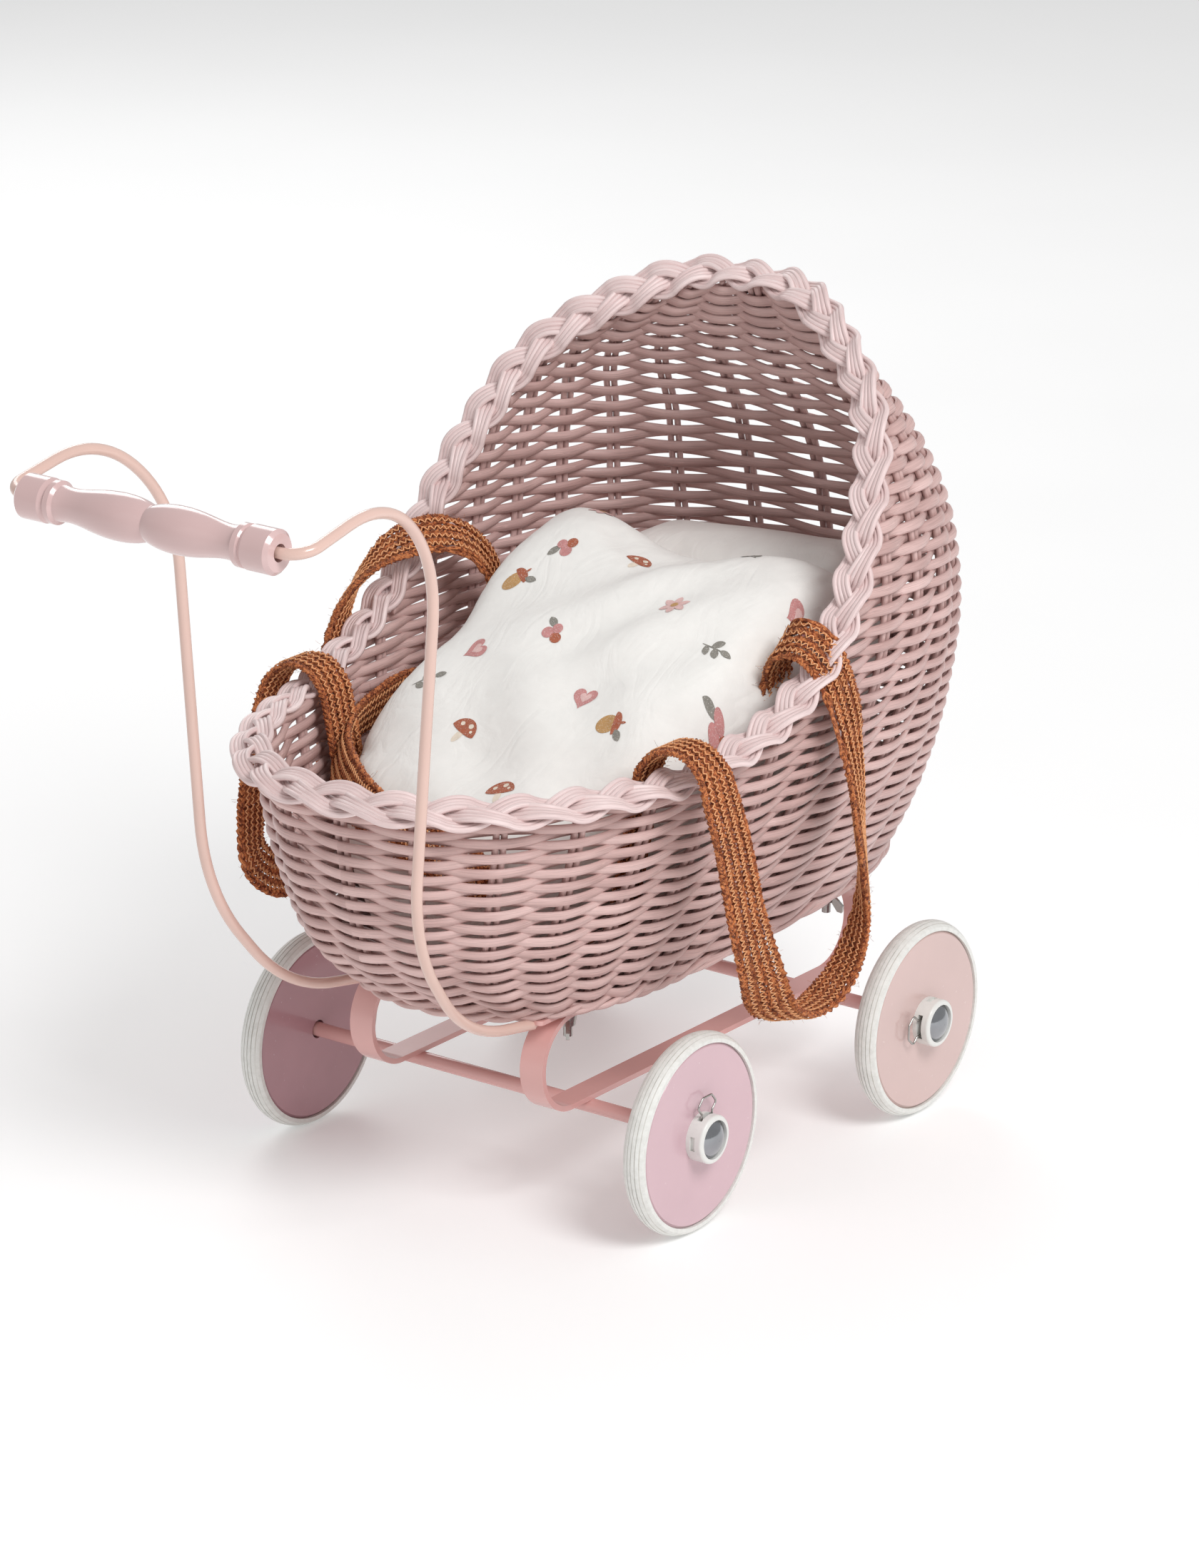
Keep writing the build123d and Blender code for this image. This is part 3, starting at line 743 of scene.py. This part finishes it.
def jute_material():
    """Dyed rust jute twisted along the yarn, matt and hairy; the bright ochre and dark brown ends of its
    colour ramps are partly the fibres' own tone and partly painted highlight and painted shade on each lump.
    """
    n = Nodes("jute")
    twist = n.noise(n.coords((420, 1700, 1), "UV"), 1.0, 3.0, 0.6)
    patch = n.noise(n.coords(), 420, 3.0)
    fibre = n.noise(n.coords(), 1500, 3.0)
    # Colour along the twist: rust tone, with a bright end that is partly painted highlight and a dark end
    # that is partly painted shade.
    colour = n.ramp(twist, [(0.43, srgb(84, 32, 10)), (0.5, srgb(176, 84, 42)), (0.57, srgb(236, 152, 92))])
    # Lump-sized patches of light and dark: partly the jute's own mottling, partly painted highlight and
    # painted shade on each lump.
    lump_tone_and_light = n.ramp(patch, [(0.45, srgb(96, 38, 12)), (0.5, srgb(176, 86, 44)), (0.55, srgb(232, 150, 92))])
    colour = n.mix(0.5, colour, lump_tone_and_light)
    n.set(Roughness=0.9, Sheen_Weight=0.08, Sheen_Roughness=0.5)
    return n.use(colour, None, n.bump(fibre, 0.0006, 0.6, n.bump(twist, 0.0008, 0.8)))


def thread_material():
    n = Nodes("seam_thread")
    twist = n.noise(n.coords((2200, 900, 1), "UV"), 1.0, 2.0)
    colour = n.ramp(twist, [(0.3, srgb(222, 142, 88)), (0.7, srgb(246, 192, 142))])
    n.set(Roughness=0.7)
    return n.use(colour, None, n.bump(twist, 0.0002, 0.5))


def make_straps():
    jute = jute_material()
    thread = thread_material()
    for name, routes in (("left", (LEFT_STRAP, INNER_BAND)), ("right", (RIGHT_STRAP,))):
        for part, route in zip(("hanging", "inner"), routes):
            yarns, threads, hairs = strap_strands(route)
            web = strands_mesh(f"strap_{name}_{part}", yarns, 6)
            web.data.materials.append(jute)
            seams = strands_mesh(f"strap_{name}_{part}_seams", threads, 5)
            seams.data.materials.append(thread)
            fuzz = strands_mesh(f"strap_{name}_{part}_fibres", hairs, 3)
            fuzz.data.materials.append(jute)
            for piece in (web, seams, fuzz):
                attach(piece, "carrycot")
            if part == "hanging":
                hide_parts(f"carry_strap_{name}")


# ---- bedding --------------------------------------------------------------------------------
BED_TOP = 154.1 * MM
DUVET_LEFT_Y = 96 * MM
DUVET_FOOT_X = -94 * MM
DUVET_HEAD_X = 182 * MM
DUVET_TOP = np.array([
    (-100, 224),
    (-60, 228),
    (-32, 236),
    (-9, 252),
    (19, 269),
    (54, 288),
    (82, 302),
    (120, 318),
    (161, 326),
    (186, 322),
]) * MM


def half_width_at(x, z, inset):
    """Half width of the basket at x and z, moved in by inset."""
    foot, wide, hood, half = np.moveaxis(smooth_table(STATIONS[:, 0], STATIONS[:, 1:], z), -1, 0)
    dx = x - wide
    power = np.where(dx >= 0, HOOD_END_POWER, FOOT_END_POWER)
    reach = np.where(dx >= 0, hood - wide, wide - foot) - inset
    ratio = np.clip(np.abs(dx) / reach, 0, 0.999)
    return (half - inset) * (1 - ratio**power) ** (1 / power)


def mound(across_x, across_y, x, y, reach_x, reach_y):
    """Round rise of height 1 centred at x, y."""
    return np.exp(-(((across_x - x) / reach_x) ** 2 + ((across_y - y) / reach_y) ** 2))


def duvet_shape():
    """Closed, crowned form of the tucked-in duvet, before it is puffed and creased."""
    rows = 76
    cols = 60
    s = np.linspace(-1, 1, rows)
    t = np.linspace(-1, 1, cols)
    S, T = np.meshgrid(np.sin(s * 1.5) / sin(1.5), np.sin(t * 1.5) / sin(1.5), indexing="ij")
    foot_x = DUVET_FOOT_X + 60 * MM * np.clip(T, 0, 1) ** 3.6 + 18 * MM * np.abs(T) ** 4
    X = (foot_x + DUVET_HEAD_X) / 2 + (DUVET_HEAD_X - foot_x) / 2 * S
    top = smooth_table(DUVET_TOP[:, 0], DUVET_TOP[:, 1], X)
    edge = ((1 - np.abs(S) ** 9) * (1 - np.abs(T) ** 14)) ** (1 / 2.6)

    def across(z, T):
        right = -half_width_at(X, z, 20 * MM)
        left = np.minimum(DUVET_LEFT_Y, half_width_at(X, z, 17 * MM))
        return (right + left) / 2 + (left - right) / 2 * T

    Y = across(np.minimum(top, 0.30) - 8 * MM, T)
    crown = 7 * MM * (1 - T**2) * (1 - S**4)
    hump_left = 8 * MM * mound(X, Y, 0.155, 0.060, 0.035, 0.040)
    hump_right = 4 * MM * mound(X, Y, 0.165, -0.075, 0.040, 0.030)
    dip = 12 * MM * mound(X, Y, 0.185, 0.0, 0.045, 0.035)
    slant = X * 0.70 + (Y - 0.03) * 0.71
    ridge = 5 * MM * mound(slant, X, 0.100, 0.10, 0.016, 0.07)
    hollow = 5 * MM * mound(slant, X, 0.065, 0.08, 0.020, 0.07)
    diagonal = X * 0.45 - Y * 0.89
    creases = 3.0 * MM * np.sin(diagonal * 95 + 0.8 + 1.2 * np.sin(X * 30))
    creases = creases * mound(X, Y, -0.02, -0.01, 0.08, 0.09)
    fan = (X * 0.80 + Y * 0.60) * 120 + 2.0 * np.sin(Y * 26 + 0.6)
    creases = creases + 3.0 * MM * np.sin(fan) * mound(X, Y, 0.07, -0.03, 0.06, 0.07)
    tuck = 7 * MM * mound(X, Y, -0.075, 0.025, 0.016, 0.02)
    full = top + crown + hump_left + hump_right - dip + ridge - hollow + creases - tuck
    upper = BED_TOP + (full - BED_TOP) * np.maximum(edge, 0.01)
    Y = np.where(T > 0, np.minimum(Y, across(upper - 6 * MM, T)), np.maximum(Y, across(upper - 6 * MM, T)))
    lower = np.full_like(X, BED_TOP - 0.5 * MM)
    low_y = across(lower + 4 * MM, T)
    low_x = np.maximum(X, -0.094 + 0.02 * np.abs(T) ** 2)
    top_grid = np.stack([X, Y, upper], -1).reshape(-1, 3)
    low_grid = np.stack([low_x, low_y, lower], -1).reshape(-1, 3)
    size = rows * cols
    i, j = np.meshgrid(np.arange(rows - 1), np.arange(cols - 1), indexing="ij")
    a = (i * cols + j).ravel()
    faces = np.vstack([
        np.stack([a, a + cols, a + cols + 1, a + 1], -1),
        np.stack([size + a, size + a + 1, size + a + cols + 1, size + a + cols], -1),
    ])
    border = [i * cols for i in range(rows)] + [(rows - 1) * cols + j for j in range(1, cols)]
    border += [i * cols + cols - 1 for i in range(rows - 2, -1, -1)] + list(range(cols - 2, 0, -1))
    border = np.array(border)
    after = np.roll(border, -1)
    skirt = np.stack([border, after, size + after, size + border], -1)
    return mesh_object("duvet_soft", np.vstack([top_grid, low_grid]), np.vstack([faces, skirt])[:, ::-1])


def remesh(obj, size):
    modifier = obj.modifiers.new("remesh", "REMESH")
    modifier.mode = "VOXEL"
    modifier.voxel_size = size
    modifier.use_smooth_shade = True
    apply_modifiers(obj)


def apply_modifiers(obj):
    graph = bpy.context.evaluated_depsgraph_get()
    graph.update()
    mesh = bpy.data.meshes.new_from_object(obj.evaluated_get(graph))
    obj.modifiers.clear()
    obj.data = mesh


def puff(obj, pressure, limit, slack, frames=20, still_below=None):
    """Blow the closed form up as cloth, and hold every point within limit of where it was."""
    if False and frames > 4:
        frames = 4
    mesh = obj.data
    start = np.empty(len(mesh.vertices) * 3)
    mesh.vertices.foreach_get("co", start)
    start = start.reshape(-1, 3)
    cloth = obj.modifiers.new("cloth", "CLOTH")
    settings = cloth.settings
    settings.quality = 6
    settings.mass = 0.15
    settings.tension_stiffness = 12
    settings.compression_stiffness = 12
    settings.shear_stiffness = 6
    settings.bending_stiffness = 0.25
    settings.use_pressure = True
    settings.uniform_pressure_force = pressure
    settings.shrink_min = -slack
    settings.effector_weights.gravity = 0
    cloth.collision_settings.use_collision = False
    if still_below is not None:
        group = obj.vertex_groups.new(name="held")
        held = [i for i, z in enumerate(start[:, 2]) if z < still_below]
        group.add(held, 1.0, "REPLACE")
        settings.vertex_group_mass = "held"
    scene = bpy.context.scene
    for frame_number in range(1, frames + 1):
        scene.frame_set(frame_number)
    apply_modifiers(obj)
    scene.frame_set(1)
    end = np.empty(len(start) * 3)
    obj.data.vertices.foreach_get("co", end)
    move = end.reshape(-1, 3) - start
    far = np.linalg.norm(move, axis=1, keepdims=True)
    move = move * np.minimum(1, limit / np.maximum(far, 1e-9))
    obj.data.vertices.foreach_set("co", (start + move).ravel())
    obj.data.update()


def subdivide(obj):
    modifier = obj.modifiers.new("subdivide", "SUBSURF")
    modifier.levels = 1
    modifier.render_levels = 1
    apply_modifiers(obj)
    obj.data.polygons.foreach_set("use_smooth", [True] * len(obj.data.polygons))


def cotton_material(name, colour):
    """Fine plain-weave cotton with soft slubs and small creases."""
    n = Nodes(name)
    at = n.coords()
    warp = n.add("ShaderNodeTexWave", wave_type="BANDS", bands_direction="X")
    weft = n.add("ShaderNodeTexWave", wave_type="BANDS", bands_direction="Y")
    for wave in (warp, weft):
        wave.inputs["Scale"].default_value = 900
        wave.inputs["Distortion"].default_value = 1.2
        wave.inputs["Detail"].default_value = 2
        n.link(at, wave.inputs["Vector"])
    cloth = n.math("MULTIPLY", warp.outputs["Fac"], weft.outputs["Fac"])
    slub = n.noise(at, 120, 4.0)
    crease = n.noise(n.coords((1.0, 0.45, 1.0)), 26, 3.0, 0.5, 0.6)
    tone = n.ramp(slub, [(0.3, tuple(c * 0.965 for c in colour[:3]) + (1,)), (0.7, colour)])
    n.set(Roughness=0.85, Sheen_Weight=0.15, Sheen_Roughness=0.6)
    wrinkle = n.noise(n.coords((0.55, 1.3, 1.0)), 34, 4.0, 0.45, 1.4)
    fold = n.math("ABSOLUTE", n.math("SUBTRACT", wrinkle, 0.5))
    bump = n.bump(crease, 0.005, 0.25)
    bump = n.bump(n.span(fold, 0.0, 0.16, 0.0, 1.0), 0.0009, 0.26, bump)
    bump = n.bump(cloth, 0.00012, 0.35, bump)
    return n.use(tone, None, bump)


def sink_pillow(mesh):
    """Press the pillow down in the middle and on the left, where a head has rested."""
    p = np.empty(len(mesh.vertices) * 3)
    mesh.vertices.foreach_get("co", p)
    p = p.reshape(-1, 3)
    height = (p[:, 2] - p[:, 2].min()) / np.ptp(p[:, 2])
    pressed = smoothstep((p[:, 1] + 0.075) / 0.045)
    p[:, 2] -= 13 * MM * pressed * height
    mesh.vertices.foreach_set("co", p.ravel())


def circle(x, y, rx, ry, turn=0.0):
    a = np.linspace(0, 2 * pi, 26, endpoint=False)
    u = rx * np.cos(a)
    v = ry * np.sin(a)
    return np.stack([x + u * cos(turn) - v * sin(turn), y + u * sin(turn) + v * cos(turn)], 1)


def leaf(x, y, length, width, turn):
    a = np.linspace(0, 2 * pi, 26, endpoint=False)
    u = length * np.cos(a)
    v = width * np.sin(a) * np.abs(np.sin(a)) ** 0.6
    return np.stack([x + u * cos(turn) - v * sin(turn), y + u * sin(turn) + v * cos(turn)], 1)


def heart(x, y, size):
    a = np.linspace(0, 2 * pi, 32, endpoint=False)
    u = 16 * np.sin(a) ** 3
    v = 13 * np.cos(a) - 5 * np.cos(2 * a) - 2 * np.cos(3 * a) - np.cos(4 * a)
    return np.stack([x + u / 16 * size, y + v / 16 * size], 1)


def dome(x, y, width, height):
    a = np.linspace(0, 2 * pi, 26, endpoint=False)
    v = np.where(np.sin(a) > 0, height * np.sin(a), height * 0.22 * np.sin(a))
    return np.stack([x + width * np.cos(a), y + v], 1)


# Printed motifs as outlines in millimetres, each with its ink.
MOTIFS = {
    "mushroom": [
        (circle(0, -3.4, 1.5, 3.4), "cream"), (dome(0, -0.6, 6.2, 5.4), "rust"),
        (circle(-2.6, 1.6, 1.0, 0.9), "cream"), (circle(1.8, 2.4, 1.2, 1.0), "cream"),
        (circle(3.6, 0.6, 0.7, 0.6), "cream"),
    ],
    "sprig": [
        (circle(0, -0.5, 0.35, 6.6), "grey"), (leaf(2.4, 1.2, 2.9, 1.7, 0.7), "grey"),
        (leaf(-2.4, -0.4, 2.9, 1.7, 2.4), "grey"),
        (leaf(2.4, -3.4, 2.6, 1.5, 0.6), "grey"), (leaf(-0.2, 5.0, 2.6, 1.5, 1.6), "grey"),
    ],
    "berries": [
        (leaf(-2.6, 3.8, 3.2, 1.7, 2.5), "grey"), (circle(-1.8, -1.4, 2.6, 2.6), "pink"),
        (circle(2.6, -2.2, 2.4, 2.4), "rust"), (circle(1.0, 1.8, 2.2, 2.2), "pink"),
    ],
    "heart": [(heart(0, 0, 5.4), "pink"), (heart(0.3, 0.4, 2.6), "blush")],
    "acorn": [
        (circle(0, -1.8, 3.6, 4.6), "ochre"), (dome(0, 1.6, 4.5, 3.0), "rust"),
        (circle(0, 5.2, 0.5, 1.4), "rust"), (leaf(5.0, 4.4, 2.8, 1.5, 0.6), "grey"),
    ],
    "daisy": [(leaf(3.6 * cos(a), 3.6 * sin(a), 2.9, 1.7, a), "blush") for a in np.arange(6) * pi / 3]
    + [(circle(0, 0, 1.7, 1.7), "ochre")],
}
INKS = {
    "rust": srgb(176, 98, 70), "pink": srgb(206, 142, 140), "blush": srgb(230, 190, 186),
    "ochre": srgb(196, 152, 98), "grey": srgb(142, 138, 130), "cream": srgb(240, 226, 208),
}
PRINT_SCALE = 1.3
PRINT_TURN = -55
INK_LIFT = 0.22
# Where each motif is printed on the duvet, in millimetres: kind, x, y, turn in degrees.
PRINTS = [
    ("mushroom", 116, 5, -40), ("sprig", 140, -52, 20), ("acorn", 80, 61, -70), ("berries", 44, 10, -35),
    ("daisy", 79, -45, 0), ("heart", 109, -105, -60), ("sprig", 3, 63, -95), ("mushroom", -21, 21, -50),
    ("heart", 12, -34, -30), ("acorn", 0, -60, -110), ("berries", 36, -104, 15), ("daisy", 148, 52, 10),
    ("sprig", 62, -84, -130), ("heart", 26, 48, -80), ("mushroom", -52, -26, -20), ("berries", 104, 46, 60),
]


def ink_material(name, colour):
    """Textile ink that lets the weave show through as small paler specks."""
    n = Nodes("ink_" + name)
    speck = n.noise(n.coords(), 1500, 3.0, 0.6)
    wash = n.noise(n.coords(), 260, 3.0)
    base = n.ramp(wash, [(0.3, tuple(c * 0.82 for c in colour[:3]) + (1,)), (0.7, colour)])
    base = n.mix(n.span(speck, 0.55, 0.68, 0.0, 0.5), base, srgb(236, 232, 226))
    n.set(Roughness=0.85)
    return n.use(base, None, n.bump(speck, 0.00015, 0.4))


def print_motifs(cover):
    """Thin printed shapes laid on the cover's surface."""
    graph = bpy.context.evaluated_depsgraph_get()
    tree = BVHTree.FromObject(cover, graph)
    verts = []
    faces = []
    inks = []
    order = list(INKS)
    for kind, at_x, at_y, turn in PRINTS:
        c = cos(radians(turn + PRINT_TURN))
        s = sin(radians(turn + PRINT_TURN))
        for layer, (outline, ink) in enumerate(MOTIFS[kind]):
            n = len(outline)
            middle = outline.mean(axis=0)
            rings = [middle + (outline - middle) * share for share in (0.2, 0.45, 0.7, 0.88, 1.0)]
            flat = np.vstack([middle[None, :]] + rings)
            base = len(verts)
            for u, v in flat * MM * PRINT_SCALE:
                origin = Vector((at_x * MM + u * c - v * s, at_y * MM + u * s + v * c, 0.6))
                hit, normal, _, _ = tree.ray_cast(origin, Vector((0, 0, -1)))
                if hit is None:
                    hit, normal, _, _ = tree.find_nearest(Vector((origin.x, origin.y, 0.26)))
                verts.append(hit + normal * (INK_LIFT + 0.05 * layer) * MM)
            for j in range(n):
                k = (j + 1) % n
                faces.append((base, base + 1 + j, base + 1 + k, base + 1 + k))
                inks.append(order.index(ink))
                for ring in range(4):
                    a = base + 1 + ring * n
                    faces.append((a + j, a + n + j, a + n + k, a + k))
                    inks.append(order.index(ink))
    motifs = mesh_object("duvet_motifs", [list(v) for v in verts], faces)
    for name, colour in INKS.items():
        motifs.data.materials.append(ink_material(name, colour))
    motifs.data.polygons.foreach_set("material_index", inks)
    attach(motifs, "carrycot")


def make_bedding():
    cotton = cotton_material("bedding_cotton", srgb(244, 242, 238))
    duvet = duvet_shape()
    remesh(duvet, 5.0 * MM)
    puff(duvet, 5.0, 4 * MM, 0.06, still_below=BED_TOP + 3 * MM)
    subdivide(duvet)
    duvet.name = "duvet_cover"
    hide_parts("duvet")
    pieces = [(duvet, 0.45)]
    for name, voxel, limit, fill in (("pillow", 5.0, 7, 0.7), ("mattress", 5.0, 4, 0.9)):
        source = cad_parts[name]
        pad = source.copy()
        pad.data = source.data.copy()
        pad.parent = None
        pad.matrix_world = source.matrix_world.copy()
        bpy.context.scene.collection.objects.link(pad)
        pad.data.transform(pad.matrix_world)
        pad.matrix_world = Matrix.Identity(4)
        pad.name = name + "_cover"
        if name == "pillow":
            sink_pillow(pad.data)
        remesh(pad, voxel * MM)
        puff(pad, 4.0, limit * MM, 0.0)
        subdivide(pad)
        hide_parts(name)
        pieces.append((pad, fill))
    for piece, fill in pieces:
        piece.data.materials.clear()
        piece.data.materials.append(cotton)
        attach(piece, "carrycot")
    print_motifs(duvet)


# ---- camera, floor, light -------------------------------------------------------------------
def make_stage():
    scene = bpy.context.scene
    bpy.ops.mesh.primitive_plane_add(size=80, location=(0, 0, 0))
    floor = bpy.context.object
    floor.name = "floor"
    n = Nodes("floor")
    shade = n.noise(n.coords(), 3.0, 2.0)
    colour = n.ramp(shade, [(0.3, (0.87, 0.87, 0.87, 1)), (0.7, (0.89, 0.89, 0.89, 1))])
    n.set(Roughness=0.7, Emission_Color=(1, 1, 1, 1), Emission_Strength=0.20)
    floor.data.materials.append(n.use(colour))

    world = bpy.data.worlds.new("studio")
    world.use_nodes = True
    world.node_tree.nodes["Background"].inputs["Color"].default_value = (1, 1, 1, 1)
    world.node_tree.nodes["Background"].inputs["Strength"].default_value = 0.52
    scene.world = world
    scene.view_settings.view_transform = "Standard"

    def area(name, place, size, power, target=(0.05, 0, 0.2)):
        light = bpy.data.lights.new(name, "AREA")
        light.shape = "DISK"
        light.size = size
        light.energy = power
        lamp = bpy.data.objects.new(name, light)
        lamp.location = place
        direction = Vector(target) - Vector(place)
        lamp.rotation_euler = direction.to_track_quat("-Z", "Y").to_euler()
        scene.collection.objects.link(lamp)

    area("key", (-0.6, -1.8, 2.1), 1.2, 40)
    area("fill", (-2.4, 0.3, 1.2), 2.0, 2)
    area("rim_light", (1.6, 1.8, 1.6), 1.4, 14)


def make_camera():
    """Camera at the photograph's viewing angle."""
    yaw = radians(35.18)
    pitch = radians(18.64)
    roll = radians(1.11)
    place = Vector((-2.648, -1.920, 1.325))
    forward = Vector((cos(yaw) * cos(pitch), sin(yaw) * cos(pitch), -sin(pitch)))
    right = Vector((sin(yaw), -cos(yaw), 0))
    up = right.cross(forward)
    right_rolled = right * cos(roll) + up * sin(roll)
    up_rolled = up * cos(roll) - right * sin(roll)
    camera = bpy.data.cameras.new("camera")
    camera.sensor_fit = "VERTICAL"
    camera.sensor_height = 36
    camera.lens = 147.5
    camera.clip_end = 50
    obj = bpy.data.objects.new("camera", camera)
    axes = Matrix((right_rolled, up_rolled, -forward)).transposed()
    obj.matrix_world = Matrix.Translation(place) @ axes.to_4x4()
    bpy.context.scene.collection.objects.link(obj)
    bpy.context.scene.camera = obj


# ---- finishes of the parts that keep their CAD shape ------------------------------------------
def rubber_material():
    """White rubber tyre, darker in patches along the grooves, with faint scuffs."""
    n = Nodes("tyre_rubber")
    at = n.coords()
    split = n.add("ShaderNodeSeparateXYZ")
    n.link(at, split.inputs[0])
    off = n.math("SUBTRACT", n.math("ABSOLUTE", split.outputs["Y"]), 0.1286)
    groove = n.math("COSINE", n.math("MULTIPLY", off, 2 * pi / 0.0023))
    groove_patchiness = n.noise(at, 60, 4.0)
    # Darker beige in patches along the grooves.
    groove_darkening = n.math("MULTIPLY", n.span(groove, 0.72, 1.0, 0.0, 1.0), n.span(groove_patchiness, 0.35, 0.6, 0.15, 0.75))
    scuff = n.noise(at, 260, 4.0, 0.7)
    colour = n.ramp(scuff, [(0.3, srgb(218, 218, 213)), (0.6, srgb(232, 232, 228))])
    colour = n.mix(groove_darkening, colour, srgb(168, 160, 148))
    n.set(Specular_IOR_Level=0.4)
    return n.use(colour, n.span(scuff, 0.3, 0.7, 0.45, 0.62), n.bump(scuff, 0.0003, 0.2))


# inner is the painted-shade colour for the disc faces towards the chassis.
def wheel_material(name, colour, inner):
    """Gloss paint on the outer face, and painted shade on the face towards the chassis: a duller, deeper tone
    that stands in for the shadow those faces lie in.
    """
    n = Nodes(name)
    at = n.coords()
    split = n.add("ShaderNodeSeparateXYZ")
    n.link(at, split.inputs[0])
    # Mask of the disc faces towards the chassis, which get painted shade.
    inward_shade_mask = n.span(n.math("ABSOLUTE", split.outputs["Y"]), 0.1270, 0.1276, 1.0, 0.0)
    drift = n.noise(at, 18, 3.0)
    peel = n.noise(at, 260, 2.0)
    fleck = n.noise(at, 420, 3.0)
    outer = n.ramp(drift, [(0.3, tuple(c * 0.93 for c in colour[:3]) + (1,)), (0.7, colour)])
    # Painted shade: a darker mauve on the inner faces in place of their shadow.
    inner_shade_tone = n.ramp(drift, [(0.3, tuple(c * 0.88 for c in inner[:3]) + (1,)), (0.7, inner)])
    base = n.mix(inward_shade_mask, outer, inner_shade_tone)
    base = n.mix(n.span(fleck, 0.70, 0.78, 0.0, 0.3), base, (0.95, 0.9, 0.88, 1))
    n.set(Coat_Weight=0.5, Coat_Roughness=0.12)
    return n.use(base, n.span(fleck, 0.3, 0.7, 0.16, 0.26), n.bump(peel, 0.0003, 0.10))


def plastic_material(name, colour):
    n = Nodes(name)
    at = n.coords()
    grain = n.noise(at, 1200, 2.0)
    haze = n.noise(at, 150, 3.0)
    base = n.ramp(haze, [(0.3, tuple(c * 0.95 for c in colour[:3]) + (1,)), (0.7, colour)])
    n.set(Coat_Weight=0.1)
    return n.use(base, n.span(haze, 0.3, 0.7, 0.3, 0.42), n.bump(grain, 0.0002, 0.15))


def metal_material(name, colour, rough):
    """Plated steel with fine wear and a slightly uneven polish."""
    n = Nodes(name)
    at = n.coords()
    wear = n.noise(at, 500, 4.0, 0.65)
    spot = n.noise(at, 90, 3.0)
    base = n.ramp(spot, [(0.3, tuple(c * 0.86 for c in colour[:3]) + (1,)), (0.7, colour)])
    n.set(Metallic=1.0)
    return n.use(base, n.span(wear, 0.3, 0.7, rough, rough + 0.12), n.bump(wear, 0.0002, 0.12))


def finish_cad_nodes():
    chassis = paint_material("chassis_paint", srgb(224, 172, 167))
    rod = paint_material("rod_paint", srgb(224, 190, 178), 0.2, 0.4)
    grip = paint_material("grip_paint", srgb(214, 182, 180), 0.16, 0.6)
    # The second colour of each wheel paint is painted shade for the disc faces towards the chassis.
    wheel = wheel_material("wheel_paint", srgb(212, 178, 186), srgb(184, 140, 148))
    rear_wheel = wheel_material("rear_wheel_paint", srgb(214, 185, 180), srgb(190, 150, 152))
    rubber = rubber_material()
    plastic = plastic_material("hub_plastic", srgb(230, 230, 226))
    chrome = metal_material("chrome", (0.36, 0.37, 0.39, 1), 0.07)
    steel = metal_material("bright_steel", (0.46, 0.45, 0.43, 1), 0.24)
    looks = [
        ("side_frame", chassis), ("axle", chassis), ("bracket", chassis),
        ("handle_rod", rod), ("handle_grip", grip),
        ("front_left_wheel_disc", wheel), ("front_right_wheel_disc", wheel), ("wheel_disc", rear_wheel),
        ("tyre", rubber), ("hub_collar", plastic), ("hub_cap", chrome), ("", steel),
    ]
    for name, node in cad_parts.items():
        material = next(look for key, look in looks if key in name)
        if not node.data.materials:
            node.data.materials.append(material)
        for index in range(len(node.data.materials)):
            node.data.materials[index] = material


make_camera()
make_stage()
make_basket()
make_straps()
make_bedding()
finish_cad_nodes()
